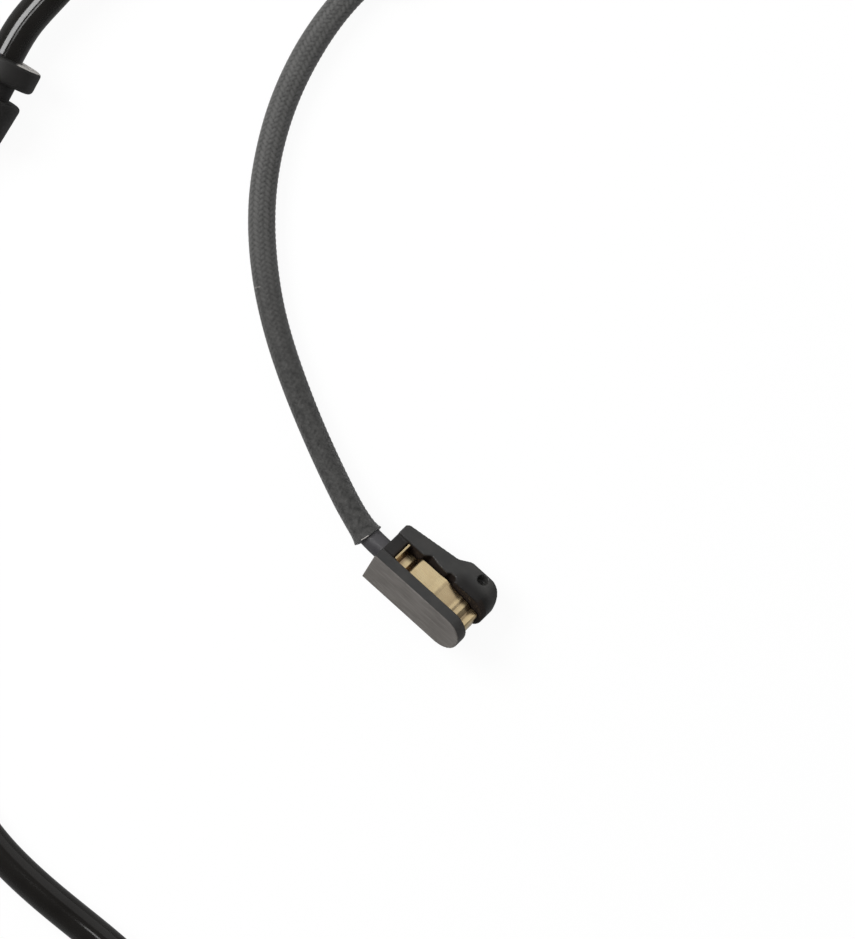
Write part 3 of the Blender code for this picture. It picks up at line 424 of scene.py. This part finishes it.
sleeveFacts = {
    "radius": 2.5,  # over the strands
    # mm along from the head, radius at the bottom of the weave
    "radii": [(3.75, 2.62), (4.4, 2.46), (5.3, 2.36), (6.5, 2.33), (14, 2.3), (26, 2.28),
              (37, 2.33), (49, 2.35), (60, 2.44), (70, 2.45), (79, 2.41), (89, 2.47),
              (100, 2.52), (122, 2.4)],
    "flare": 0.48,  # mm, on the near side of the end by the head
    "flareLength": 6.5,
    "setBack": 0.75,  # mm that this side ends short
    "setBackRings": 12,
    "lip": (0.5, 0.47, 0.44),
    "lipAngles": (52, 86),  # degrees round the end
    "fibreAt": (-20.4, 50.2, 2.5),  # plan mm, a pale fibre that stands out
    "fibreAngles": (20, 64),
    "fibreShare": 0.24,  # of the lip's colour
    "weaveHeight": 0.13,
    "crown": 0.45,  # shares of that height: a strand's own roundness
    "wave": 0.42,  # and its way over and under the others
    "onTopShare": 0.2,  # how much the strand on top counts in the weave's tone; the rest is painted shade from the strands' height
    "strands": 15,  # one way round
    "lay": 15.5,  # mm along for one turn
    "dark": (0.010, 0.010, 0.0095),
    "pale": (0.086, 0.085, 0.082),
    "darkerByHead": [(0.34, (0.014, 0.0138, 0.013)), (0.62, (0.046, 0.045, 0.043))],  # darker, in patches, by the head
    "darkerAlong": (42, 8),  # mm in the frame's y, where this begins and is full
    "darkerScale": 900,
    "fibreScale": 2600,
    "fibreHeight": 0.02,  # mm
    "cloudScale": 180,
    "shares": (0.5, 0.52, 0.2),  # of weave, fibre and cloud in the tone
    "roughness": 0.75,
    "sheen": 0.25,
    "sheenRoughness": 0.5,
    "step": 0.2,  # mm between rings
    "sides": 84,
}


def wovenYarn(name, facts):
    made, nodes, links, shader = newFinish(name, facts["dark"], facts["roughness"])
    place = placeOnPiece(nodes)
    # weave: painted shade of the braid's relief, paler on the strands' crowns and darker between
    # them
    weave = addNode(nodes, "ShaderNodeAttribute", attribute_name="weave").outputs["Fac"]
    fibre = noiseOn(nodes, links, place, facts["fibreScale"], 3, 0.6)
    cloud = noiseOn(nodes, links, place, facts["cloudScale"], 2)
    shade = addValue(nodes, 0.0)
    for part, share in zip((weave, fibre, cloud), facts["shares"]):
        added = addNode(nodes, "ShaderNodeMath", operation="MULTIPLY_ADD")
        added.inputs[1].default_value = share
        links.new(part, added.inputs[0])
        links.new(shade, added.inputs[2])
        shade = added.outputs[0]
    tone = rampOf(nodes, links, shade, [(0.36, facts["dark"]), (0.82, facts["pale"])])
    y = coordinatesOf(nodes, links, place)["Y"]
    # Darker towards the head, in patches.
    byHead = rise(nodes, links, y, *facts["darkerAlong"])
    patches = noiseOn(nodes, links, place, facts["darkerScale"], 4, 0.7)
    tone = blend(nodes, links, product(nodes, links, byHead, byHead), tone,
                 rampOf(nodes, links, patches, facts["darkerByHead"]))
    lip = addNode(nodes, "ShaderNodeAttribute", attribute_name="lip").outputs["Fac"]
    tone = blend(nodes, links, lip, tone, facts["lip"])
    links.new(tone, shader.inputs["Base Color"])
    shader.inputs["Sheen Weight"].default_value = facts["sheen"]
    shader.inputs["Sheen Roughness"].default_value = facts["sheenRoughness"]
    bumpOf(nodes, links, shader, [(fibre, facts["fibreHeight"])])
    return made


tubeFacts = {
    "radius": 3.3,
    "color": (0.0085, 0.0078, 0.0070),
    "pale": (0.013, 0.012, 0.011),
    "cloudScale": 160,
    "cloudHeight": 0.012,  # mm
    "dustScale": 2200,
    "specular": 0.36,
    "roughness": 0.09,
    "rubbed": 0.15,  # the roughness towards the connector
    "rubbedAlong": (-30, -70),  # mm in the frame's y, where this begins and is full
    "sides": 40,
    "step": 1.5,
}


def glossySheath(name, facts):
    made, nodes, links, shader = newFinish(name, facts["color"], facts["roughness"])
    place = placeOnPiece(nodes)
    cloud = noiseOn(nodes, links, place, facts["cloudScale"], 3)
    dust = noiseOn(nodes, links, place, facts["dustScale"], 2, 0.7)
    tone = rampOf(nodes, links, cloud, [(0.3, facts["color"]), (0.8, facts["pale"])])
    rough = rampOf(nodes, links, dust, [(0.45, facts["roughness"]),
                                        (0.75, facts["roughness"] + 0.12)])
    y = coordinatesOf(nodes, links, place)["Y"]
    byPlug = rise(nodes, links, y, *facts["rubbedAlong"])
    rough = blend(nodes, links, byPlug, rough, (facts["rubbed"],) * 3)
    links.new(tone, shader.inputs["Base Color"])
    links.new(rough, shader.inputs["Roughness"])
    shader.inputs["Specular IOR Level"].default_value = facts["specular"]
    bumpOf(nodes, links, shader, [(cloud, facts["cloudHeight"])])
    return made


softFacts = {
    "cloudScale": 300,
    "cloudHeight": 0.03,  # mm
    "grainScale": 5200,
    "grainHeight": 0.01,  # mm
}


def softRubber(name, dark, pale, roughness):
    made, nodes, links, shader = newFinish(name, dark, roughness)
    place = placeOnPiece(nodes)
    cloud = noiseOn(nodes, links, place, softFacts["cloudScale"], 4, 0.6)
    grain = noiseOn(nodes, links, place, softFacts["grainScale"], 3, 0.6)
    tone = rampOf(nodes, links, cloud, [(0.35, dark), (0.75, pale)])
    links.new(tone, shader.inputs["Base Color"])
    bumpOf(nodes, links, shader, [(grain, softFacts["grainHeight"]),
                                  (cloud, softFacts["cloudHeight"])])
    return made


copperFacts = {
    "color": (0.62, 0.31, 0.18),
    "dull": (0.42, 0.2, 0.11),
    "bright": (0.66, 0.34, 0.2),
    "roughness": 0.34,
    "cloudScale": 600,
    "cloudHeight": 0.01,  # mm
}


def drawnCopper(name, facts):
    made, nodes, links, shader = newFinish(name, facts["color"], facts["roughness"], 1.0)
    place = placeOnPiece(nodes)
    cloud = noiseOn(nodes, links, place, facts["cloudScale"], 3)
    tone = rampOf(nodes, links, cloud, [(0.3, facts["dull"]), (0.7, facts["bright"])])
    links.new(tone, shader.inputs["Base Color"])
    bumpOf(nodes, links, shader, [(cloud, facts["cloudHeight"])])
    return made


finishes = {
    "head": mouldedPlastic("mouldedHead", mouldedFacts, wornAndShadedHead),
    "plug": mouldedPlastic("mouldedPlug", mouldedFacts),
    "brass": rolledBrass("rolledBrass", brassFacts),
    "copper": drawnCopper("drawnCopper", copperFacts),
    "insulation": softRubber("wireSheath", (0.03, 0.03, 0.033), (0.05, 0.05, 0.055), 0.45),
    "core": softRubber("coreSheath", (0.042, 0.040, 0.044), (0.06, 0.058, 0.062), 0.42),
    "potting": softRubber("pottingResin", (0.012, 0.012, 0.012), (0.03, 0.03, 0.03), 0.3),
    "sleeve": wovenYarn("wovenYarn", sleeveFacts),
    "tube": glossySheath("glossySheath", tubeFacts),
    "rubber": softRubber("bootRubber", (0.0105, 0.0098, 0.0092), (0.018, 0.0165, 0.0155), 0.6),
    "nylon": softRubber("tieNylon", (0.016, 0.016, 0.016), (0.026, 0.026, 0.026), 0.42),
    "seal": softRubber("sealRubber", (0.16, 0.07, 0.03), (0.2, 0.09, 0.04), 0.55),
}
print("finishes made")


# The lead: sheathed core, woven sleeve, glossy tube with its spare length in a coil

leadFacts = {
    "coreShowing": 3.75,
    "coreInSleeve": 6,
    "coreRadius": 2.1,
    "coreSides": 40,
    "coreStep": 0.5,  # mm between rings
    "coreDepth": 4.05,  # mm below the cheeks' tops
    "coreAcross": 4.975,  # mm from the plain cheek
    "coreSag": (0.1, 0.1),  # mm across and up over the part that shows
    "boreLength": 2.3,
    "bushStart": 118.0,
    "bushLength": 15.0,
    "bushSocket": 4.0,
    "fitGap": 0.3,
    "pointGap": 2.4,  # mm between the tube's points before the coil
    "plugPoints": (-2.0, 2.0, 5.2),  # mm along the connector's own axis
}
sleeveRoute = [
    (-6.62, 12.88, 4.7), (-11.49, 23.38, 3.6), (-15.73, 34.12, 2.95), (-18.96, 44.78, 2.65),
    (-20.75, 55.58, 2.6), (-20.95, 66.15, 2.6), (-19.73, 74.86, 2.6), (-16.97, 84.32, 2.75),
    (-12.42, 93.8, 3.2), (-5.61, 103.19, 3.8), (4.12, 111.62, 4.3), (13.4, 116.98, 4.4),
    (23.47, 120.64, 4.45), (31.9, 122.28, 4.45), (39.39, 122.74, 4.45),
]
coilFacts = {
    "middle": (39.39, 160.64),  # plan mm
    "outerTrack": 37.9,
    "innerTrack": 31.3,
    "topTrack": 34.6,
    "lowHeight": 4.45,
    "topHeight": 11.0,
    "sag": 0.95,  # mm that the strands sink away from the tie
    "tieAt": 8,  # degrees round the coil
    "tieHolds": (25, 80),  # degrees from the tie, where the sag begins and is full
    # Degrees wound since the coil began
    "turned": 947,
    "every": 8,  # between points
    "inwards": (230, 360),  # from the outer track to the inner one
    "upwards": (545, 592),
    "onTop": (562, 606),  # out to the top track
    "held": (20, 80),  # the start doesn't sink yet
    "leaving": (850, 925),  # nor does the end
}
tubeRoute = [
    (14.25, 184.4, 11.0), (5.7, 175.2, 11.0), (-2.7, 166.0, 10.85), (-19.6, 147.7, 10.3),
    (-36.6, 129.3, 9.6), (-50.5, 114.3, 9.0), (-60.7, 103.2, 8.5), (-64.6, 98.75, 8.2),
    (-67.9, 93.35, 7.8), (-69.8, 89.8, 7.5), (-71.7, 86.3, 7.2), (-73.6, 82.8, 6.9),
    (-75.5, 79.3, 6.55), (-83.9, 61.1, 4.9), (-89.9, 42.0, 3.7), (-93.1, 22.0, 3.3),
    (-92.9, 2.0, 3.3), (-89.2, -17.6, 3.3), (-81.2, -36.5, 3.35), (-69.5, -54.6, 3.6),
    (-66.0, -58.2, 3.75), (-59.5, -63.95, 4.1), (-53.3, -68.95, 4.5),
]


def sleeveLine(facts, step):
    back = Vector((0, facts["coreAcross"], -facts["coreDepth"])) * mm
    lip = back + Vector((-facts["coreShowing"], *facts["coreSag"])) * mm
    points = [headFrame @ back, headFrame @ lip] + [inPlan(p) for p in sleeveRoute]
    return smoothLine(points, step * mm)


def smoothStep(value, between):
    low, high = between
    t = min(max((value - low) / (high - low), 0.0), 1.0)
    return t * t * (3 - 2 * t)


def coilPoints(facts):
    points = []
    for turned in range(facts["every"], facts["turned"], facts["every"]):
        angle = math.radians(turned - 90)
        inward = smoothStep(turned, facts["inwards"])
        climb = smoothStep(turned, facts["upwards"])
        middle = smoothStep(turned, facts["onTop"])
        radius = facts["outerTrack"] + (facts["innerTrack"] - facts["outerTrack"]) * inward
        radius += (facts["topTrack"] - facts["innerTrack"]) * middle
        height = facts["lowHeight"] + (facts["topHeight"] - facts["lowHeight"]) * climb
        fromTie = abs((math.degrees(angle) - facts["tieAt"] + 180) % 360 - 180)
        loose = smoothStep(fromTie, facts["tieHolds"]) * smoothStep(turned, facts["held"])
        loose *= 1 - smoothStep(turned, facts["leaving"])
        height -= facts["sag"] * loose
        points.append((facts["middle"][0] + radius * math.cos(angle),
                       facts["middle"][1] + radius * math.sin(angle), height))
    return points


def addCore(facts, line):
    bore = headFrame @ (Vector((facts["boreLength"] - facts["fitGap"], facts["coreAcross"],
                                -facts["coreDepth"])) * mm)
    shown = evenly(line, 0, facts["coreShowing"] * mm + facts["coreInSleeve"] * mm,
                   facts["coreStep"] * mm)
    core = sweptSkin("sheathedCore", np.vstack([[bore], shown]),
                     lambda run, angle: facts["coreRadius"] * mm, facts["coreSides"],
                     finishes["core"])
    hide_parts("lead_core")
    return core


def addSleeve(facts, sleeve, line):
    end = (facts["bushStart"] + facts["bushSocket"]) * mm - facts["fitGap"] * mm
    woven = evenly(line, facts["coreShowing"] * mm, end, sleeve["step"] * mm)
    places, radii = np.array(sleeve["radii"]).T

    def reach(run, angle):
        plain = np.interp(run / mm + facts["coreShowing"], places, radii)
        flare = sleeve["flare"] * np.clip(1 - run / mm / sleeve["flareLength"], 0, 1) ** 2
        weave = sleeve["weaveHeight"] * braidHeight(run / mm, angle, sleeve)[0]
        return mm * (plain + flare * np.maximum(np.cos(angle), 0) + weave)

    braid = sweptSkin("wovenSleeve", woven, reach, sleeve["sides"], finishes["sleeve"])
    markWeaveShade(braid, woven, sleeve)
    trimEnd(braid, woven, sleeve)
    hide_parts("braided_sleeve")
    return braid, woven


def addTube(facts, tube, line):
    bushEnd = facts["bushStart"] + facts["bushLength"] - facts["bushSocket"]
    first = evenly(line, (bushEnd + facts["fitGap"]) * mm, None, facts["pointGap"] * mm)[:-1]
    last = [plugFrame @ (Vector((x, 0, 0)) * mm) for x in facts["plugPoints"]]
    route = [sleeveRoute[-1]] + coilPoints(coilFacts) + tubeRoute
    points = list(map(Vector, first)) + [inPlan(p) for p in route] + last
    tubeLine = smoothLine(points, tube["step"] * mm)
    sheath = sweptSkin("outerTube", tubeLine, lambda run, angle: tube["radius"] * mm,
                       tube["sides"], finishes["tube"])
    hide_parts("tube_to_coil", "lead_coil", "tube_to_connector")
    return sheath, tubeLine


def buildLead(facts, sleeve, tube, grommet):
    line = sleeveLine(facts, sleeve["step"])
    core = addCore(facts, line)
    braid, woven = addSleeve(facts, sleeve, line)
    sheath, tubeLine = addTube(facts, tube, line)
    for piece, slot in ((core, "core_sheath"), (braid, "woven_sleeve"), (sheath, "gloss_tube")):
        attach(piece, "root")


# Twill braid: two families of strands that pass over two and under two. Returns the height
# from 0 to 1 and which family lies on top.
def braidHeight(run, angle, facts):
    turns = angle / (2 * math.pi)
    strands, crown, wave = facts["strands"], facts["crown"], facts["wave"]
    a = (turns + run / facts["lay"]) * strands
    b = (turns - run / facts["lay"]) * strands
    i, j = np.floor(a), np.floor(b)
    crownA = 1 - (2 * (a - i) - 1) ** 2
    crownB = 1 - (2 * (b - j) - 1) ** 2
    waveA = np.cos(math.pi / 2 * (i + (b - 0.5)) - math.pi / 4)
    waveB = -np.cos(math.pi / 2 * ((a - 0.5) + j) - math.pi / 4)
    topA = crown * crownA + wave * waveA
    topB = crown * crownB + wave * waveB
    height = np.maximum(topA, topB)
    return np.clip(height / (crown + wave), 0, 1), (topA > topB).astype(float)


# Painted shade of the braid: each point's tone from the strands' height, paler on the crowns and
# darker in the hollows, with the family on top slightly paler.
def markWeaveShade(piece, line, facts):
    angles = roundAngles(facts["sides"])
    height, onTop = braidHeight(runOf(line)[:, None] / mm, angles[None, :], facts)
    share = facts["onTopShare"]
    tone = ((1 - share) * height + share * onTop).reshape(-1)
    layer = piece.data.attributes.new("weave", "FLOAT", "POINT")
    layer.data.foreach_set("value", tone.astype(np.float32))


# The cut end by the head isn't square: its near side ends short, with a pale lip.
def trimEnd(piece, line, facts):
    along = sideVectors(line[:2])[0]
    sides, rings = facts["sides"], facts["setBackRings"]
    angles = roundAngles(sides)
    for k in range(rings):
        for j, angle in enumerate(angles):
            back = facts["setBack"] * mm * max(math.cos(angle), 0) ** 1.5 * (1 - k / rings)
            piece.data.vertices[k * sides + j].co += Vector(along[0]) * back
    pale = np.zeros((len(line), sides), dtype=np.float32)
    low, high = np.radians(facts["lipAngles"])
    pale[0, (angles > low) & (angles < high)] = 1
    fibre = inPlan(facts["fibreAt"])
    ring = np.argmin(np.linalg.norm(line[:, :2] - np.array(fibre[:2]), axis=1))
    low, high = np.radians(facts["fibreAngles"])
    pale[ring, (angles > low) & (angles < high)] = facts["fibreShare"]
    layer = piece.data.attributes.new("lip", "FLOAT", "POINT")
    layer.data.foreach_set("value", pale.reshape(-1))


# The head

headFacts = {
    "voxel": 0.15,  # mm
    "softenShare": 0.5,
    "softenRounds": 3,
    "nudge": (0.06, 0.18, 0),  # mm in the plan, to where the picture has it
}


def copyOfNode(node, name, finish, matrix):
    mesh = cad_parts[node].data.copy()
    mesh.transform(matrix.inverted())
    mesh.materials.clear()
    return addObject(name, mesh, finish, False, matrix)


def applyModifiers(obj):
    bpy.context.view_layer.update()
    graph = bpy.context.evaluated_depsgraph_get()
    mesh = bpy.data.meshes.new_from_object(obj.evaluated_get(graph))
    obj.modifiers.clear()
    obj.data = mesh


def mouldedCopy(node, name, finish, matrix, facts):  # the same solid with soft edges
    piece = copyOfNode(node, name, finish, matrix)
    remesh = piece.modifiers.new("skin", "REMESH")
    remesh.mode = "VOXEL"
    remesh.voxel_size = facts["voxel"] * mm
    soften = piece.modifiers.new("soften", "SMOOTH")
    soften.factor = facts["softenShare"]
    soften.iterations = facts["softenRounds"]
    applyModifiers(piece)
    piece.data.shade_smooth()
    return piece


# The clip's strip: (mm from the head's back, mm below the cheeks' tops, radius of the bend).
clipFacts = {
    "bends": [(3.02, 0.35, 0), (3.6, 2.65, 0.45), (5.5, 2.6, 0.4), (6.7, 1.14, 0.35),
              (11.0, 1.08, 0.8), (12.45, 0.86, 0.3), (13.15, 1.13, 0.3), (16.2, 1.9, 0.35),
              (16.75, 1.8, 0.3), (17.3, 2.06, 0.35), (18.15, 1.95, 0.4), (19.15, 2.8, 0.45),
              (19.8, 2.6, 0.4), (20.8, 2.7, 0.8), (20.8, 7.0, 0.45), (19.1, 7.0, 0)],
    "thickness": 0.4,
    "edge": 0.1,
    "from": 2.85,  # mm across from the plain cheek
    "to": 7.1,
    "sharpFrom": 45,  # degrees
}


def roundedPath(corners, steps=6):  # corners: (x, y, radius)
    path = []
    for k, (x, y, radius) in enumerate(corners):
        if radius == 0:
            path.append((x, y))
            continue
        here = Vector((x, y))
        before = Vector(corners[k - 1][:2]) - here
        after = Vector(corners[k + 1][:2]) - here
        half = before.angle(after) / 2
        reach = min(radius / math.tan(half), 0.48 * before.length, 0.48 * after.length)
        first, last = here + before.normalized() * reach, here + after.normalized() * reach
        for step in range(steps + 1):
            t = step / steps
            point = first * (1 - t) ** 2 + here * 2 * t * (1 - t) + last * t * t
            path.append(tuple(point))
    return path


def addClip(facts):
    path = [Vector((x, -depth)) for x, depth in roundedPath(facts["bends"])]
    half, edge = facts["thickness"] / 2, facts["edge"]
    low, high = facts["from"], facts["to"]
    section = []
    for y, z, first in ((high - edge, half - edge, 0), (low + edge, half - edge, 90),
                        (low + edge, edge - half, 180), (high - edge, edge - half, 270)):
        for turn in (0, 30, 60, 90):
            at = math.radians(first + turn)
            section.append((y + edge * math.cos(at), z + edge * math.sin(at)))
    rings = []
    for k, here in enumerate(path):
        along = (path[min(k + 1, len(path) - 1)] - path[max(k - 1, 0)]).normalized()
        out = Vector((-along.y, along.x))
        rings.append([((here.x + out.x * z) * mm, y * mm, (here.y + out.y * z) * mm)
                      for y, z in section])
    count = len(section)
    faces = [(k * count + j, k * count + (j + 1) % count, (k + 1) * count + (j + 1) % count,
              (k + 1) * count + j) for k in range(len(rings) - 1) for j in range(count)]
    faces += [list(range(count))[::-1], [(len(rings) - 1) * count + j for j in range(count)]]
    mesh = bpy.data.meshes.new("brassClip")
    mesh.from_pydata([vertex for ring in rings for vertex in ring], [], faces)
    turnOutwards(mesh)
    clip = addObject("brassClip", mesh, finishes["brass"], True, headFrame)
    mesh.set_sharp_from_angle(angle=math.radians(facts["sharpFrom"]))
    return clip


def buildHead(facts):
    body = mouldedCopy("sensor_body", "mouldedHead", finishes["head"], headFrame, facts)
    clip = addClip(clipFacts)
    nudge = planFrame.to_3x3() @ (Vector(facts["nudge"]) * mm)
    body.location += nudge
    clip.location += nudge
    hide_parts("sensor_body")
    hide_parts("spring_clip")
    for piece, slot in ((body, "black_plastic"), (clip, "brass_strip")):
        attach(piece, "root")
    print("head:", len(body.data.polygons), "faces")


buildHead(headFacts)


# The grommet, turned round the tube: (mm along, radius, rounding of the corner)

grommetFacts = {
    "start": (-68.25, 92.7, 7.8),  # plan mm
    "tilt": 4.5,  # degrees
    "heading": 241.8,
    "profile": [(0.3, 3.4, 0), (0, 3.7, 0), (0, 7.5, 0.8), (4.45, 7.5, 1.1), (4.45, 4.35, 0.2),
                (7.35, 4.35, 0.2), (7.35, 7.1, 1.0), (16.15, 6.55, 0.8), (16.15, 3.7, 0),
                (15.85, 3.4, 0)],
    "sides": 96,
    "dark": (0.0088, 0.0083, 0.0078),
    "pale": (0.016, 0.0148, 0.014),
    "roughness": 0.6,
    # A painted sheen on the coil-side face, standing in for its reflection of the floor: mm where
    # this begins and is full
    "paintedSheen": (0.6, 0.575, 0.545),
    "sheenAlong": (0.2, 0.08),
    "sheenAcross": (2.6, 3.4),
    "sheenUp": (-6.0, -4.8),
}


def grommetRubber(name, facts):
    made = softRubber(name, facts["dark"], facts["pale"], facts["roughness"])
    nodes, links = made.node_tree.nodes, made.node_tree.links
    base = nodes["Principled BSDF"].inputs["Base Color"]
    x, y, z = coordinatesOf(nodes, links, placeOnPiece(nodes))
    # Painted sheen on the coil-side face, kept off the part by the bottom rim.
    paintedSheen = product(nodes, links, rise(nodes, links, x, *facts["sheenAlong"]),
                   rise(nodes, links, y, *facts["sheenAcross"]),
                   rise(nodes, links, z, *facts["sheenUp"]))
    links.new(blend(nodes, links, paintedSheen, base.links[0].from_socket, facts["paintedSheen"]), base)
    return made


def buildGrommet(facts):
    place = planFrame @ frameAt(facts["start"], (0, facts["tilt"], facts["heading"]))
    profile = roundedPath(facts["profile"])
    sides, count = facts["sides"], len(profile)
    turns = [2 * math.pi * k / sides for k in range(sides)]
    vertices = [(x * mm, r * math.cos(turn) * mm, r * math.sin(turn) * mm)
                for turn in turns for x, r in profile]
    faces = [(k * count + j, k * count + (j + 1) % count,
              (k + 1) % sides * count + (j + 1) % count, (k + 1) % sides * count + j)
             for k in range(sides) for j in range(count)]
    mesh = bpy.data.meshes.new("turnedGrommet")
    mesh.from_pydata(vertices, [], faces)
    turnOutwards(mesh)
    finish = grommetRubber("grommetRubber", facts)
    grommet = addObject("turnedGrommet", mesh, finish, True, place)
    mesh.set_sharp_from_angle(angle=sharpFrom)
    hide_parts("bracket_grommet")
    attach(grommet, "root")
    print("grommet:", len(mesh.polygons), "faces")
    return grommet


buildLead(leadFacts, sleeveFacts, tubeFacts, buildGrommet(grommetFacts))


# Nodes that keep their own shape

nodeFinishes = {
    "potting_seal": "potting", "core_wire_a": "insulation", "core_wire_b": "insulation",
    "crimp_sleeve_a": "copper", "crimp_sleeve_b": "copper", "wear_loop": "copper",
    "sleeve_bush": "rubber", "coil_tie": "nylon", "connector_boot": "rubber",
    "connector_housing": "plug", "terminal_lock": "plug",
    "interface_seal": "seal", "terminal_a": "brass", "terminal_b": "brass",
    "connector_wire_a": "insulation", "connector_wire_b": "insulation",
    "wire_seal_a": "seal", "wire_seal_b": "seal",
}
for node, finish in nodeFinishes.items():
    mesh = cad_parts[node].data
    mesh.materials.clear()
    mesh.materials.append(finishes[finish])
print("finishes given to", len(nodeFinishes), "nodes")


# Floor, surroundings and lamps

stageFacts = {
    "floorSize": 6.0,
    "floorColor": (0.95, 0.95, 0.95),
    "shadowShare": 0.06,  # how much of the floor's own shading the camera sees
    "glow": 1.0,
    "mirrored": 0.3,  # the floor's glow in reflections
    "zenith": 0.08,
    "horizon": 0.22,
}
lampFacts = [
    # name, azimuth in the picture, elevation, distance in m, size in m, power in W
    ("keyPanel", 146, 47, 0.9, 0.42, 7.5),
    ("stripPanel", 146, 75, 1.0, 0.15, 0.5),
    ("sidePanel", 49, 22, 1.2, 1.6, 4.4),
    ("softFill", 0, 90, 1.5, 1.6, 6.7),
]


def seenRays(nodes, links, rays, *others):  # 1 for rays that show the background as white
    seen = rays.outputs["Is Camera Ray"]
    for name in ("Is Transmission Ray",) + others:
        either = addNode(nodes, "ShaderNodeMath", operation="MAXIMUM")
        links.new(seen, either.inputs[0])
        links.new(rays.outputs[name], either.inputs[1])
        seen = either.outputs[0]
    return seen


def addFloor(facts):
    half = facts["floorSize"] / 2
    mesh = bpy.data.meshes.new("floor")
    mesh.from_pydata([(-half, -half, 0), (half, -half, 0), (half, half, 0), (-half, half, 0)],
                     [], [(0, 1, 2, 3)])
    made, nodes, links, shader = newFinish("paperFloor", facts["floorColor"], 0.9)
    shader.inputs["Specular IOR Level"].default_value = 0.0
    rays = addNode(nodes, "ShaderNodeLightPath")
    share = product(nodes, links, seenRays(nodes, links, rays, "Is Glossy Ray"),
                    addValue(nodes, 1 - facts["shadowShare"]))
    level = addNode(nodes, "ShaderNodeMix")
    level.inputs["A"].default_value = facts["glow"]
    level.inputs["B"].default_value = facts["mirrored"]
    links.new(rays.outputs["Is Glossy Ray"], level.inputs["Factor"])
    glow = addNode(nodes, "ShaderNodeEmission")
    links.new(level.outputs["Result"], glow.inputs["Strength"])
    mix = addNode(nodes, "ShaderNodeMixShader")
    links.new(share, mix.inputs["Fac"])
    links.new(shader.outputs["BSDF"], mix.inputs[1])
    links.new(glow.outputs["Emission"], mix.inputs[2])
    links.new(mix.outputs["Shader"], nodes["Material Output"].inputs["Surface"])
    floor = addObject("paperFloor", mesh, made, False)


def setWorld(facts):  # dark overhead, pale towards the horizon, white to the camera
    world = bpy.data.worlds.new("studio")
    bpy.context.scene.world = world
    world.use_nodes = True
    nodes, links = world.node_tree.nodes, world.node_tree.links
    place = addNode(nodes, "ShaderNodeTexCoord").outputs["Generated"]
    up = coordinatesOf(nodes, links, place)["Z"]
    sky = rampOf(nodes, links, up, [(0.0, facts["horizon"]), (0.75, facts["zenith"])])
    rays = addNode(nodes, "ShaderNodeLightPath")
    tone = addNode(nodes, "ShaderNodeMix", data_type="RGBA")
    tone.inputs[7].default_value = (1, 1, 1, 1)
    links.new(seenRays(nodes, links, rays), tone.inputs[0])
    links.new(sky, tone.inputs[6])
    links.new(tone.outputs[2], nodes["Background"].inputs["Color"])


def addLamps(rows):
    aim = headFrame.translation
    for name, azimuth, elevation, distance, size, power in rows:
        light = bpy.data.lights.new(name, "AREA")
        light.shape = "SQUARE"
        light.size = size
        light.energy = power
        lamp = bpy.data.objects.new(name, light)
        lamp.visible_glossy = name != "softFill"
        bpy.context.scene.collection.objects.link(lamp)
        turn = math.radians(azimuth + placeFacts["pictureTurn"])
        lift = math.radians(elevation)
        away = Vector((math.cos(turn) * math.cos(lift), math.sin(turn) * math.cos(lift),
                       math.sin(lift)))
        lamp.location = aim + away * distance
        lamp.rotation_euler = away.to_track_quat("Z", "Y").to_euler()


addFloor(stageFacts)
setWorld(stageFacts)
addLamps(lampFacts)
print("stage lit")
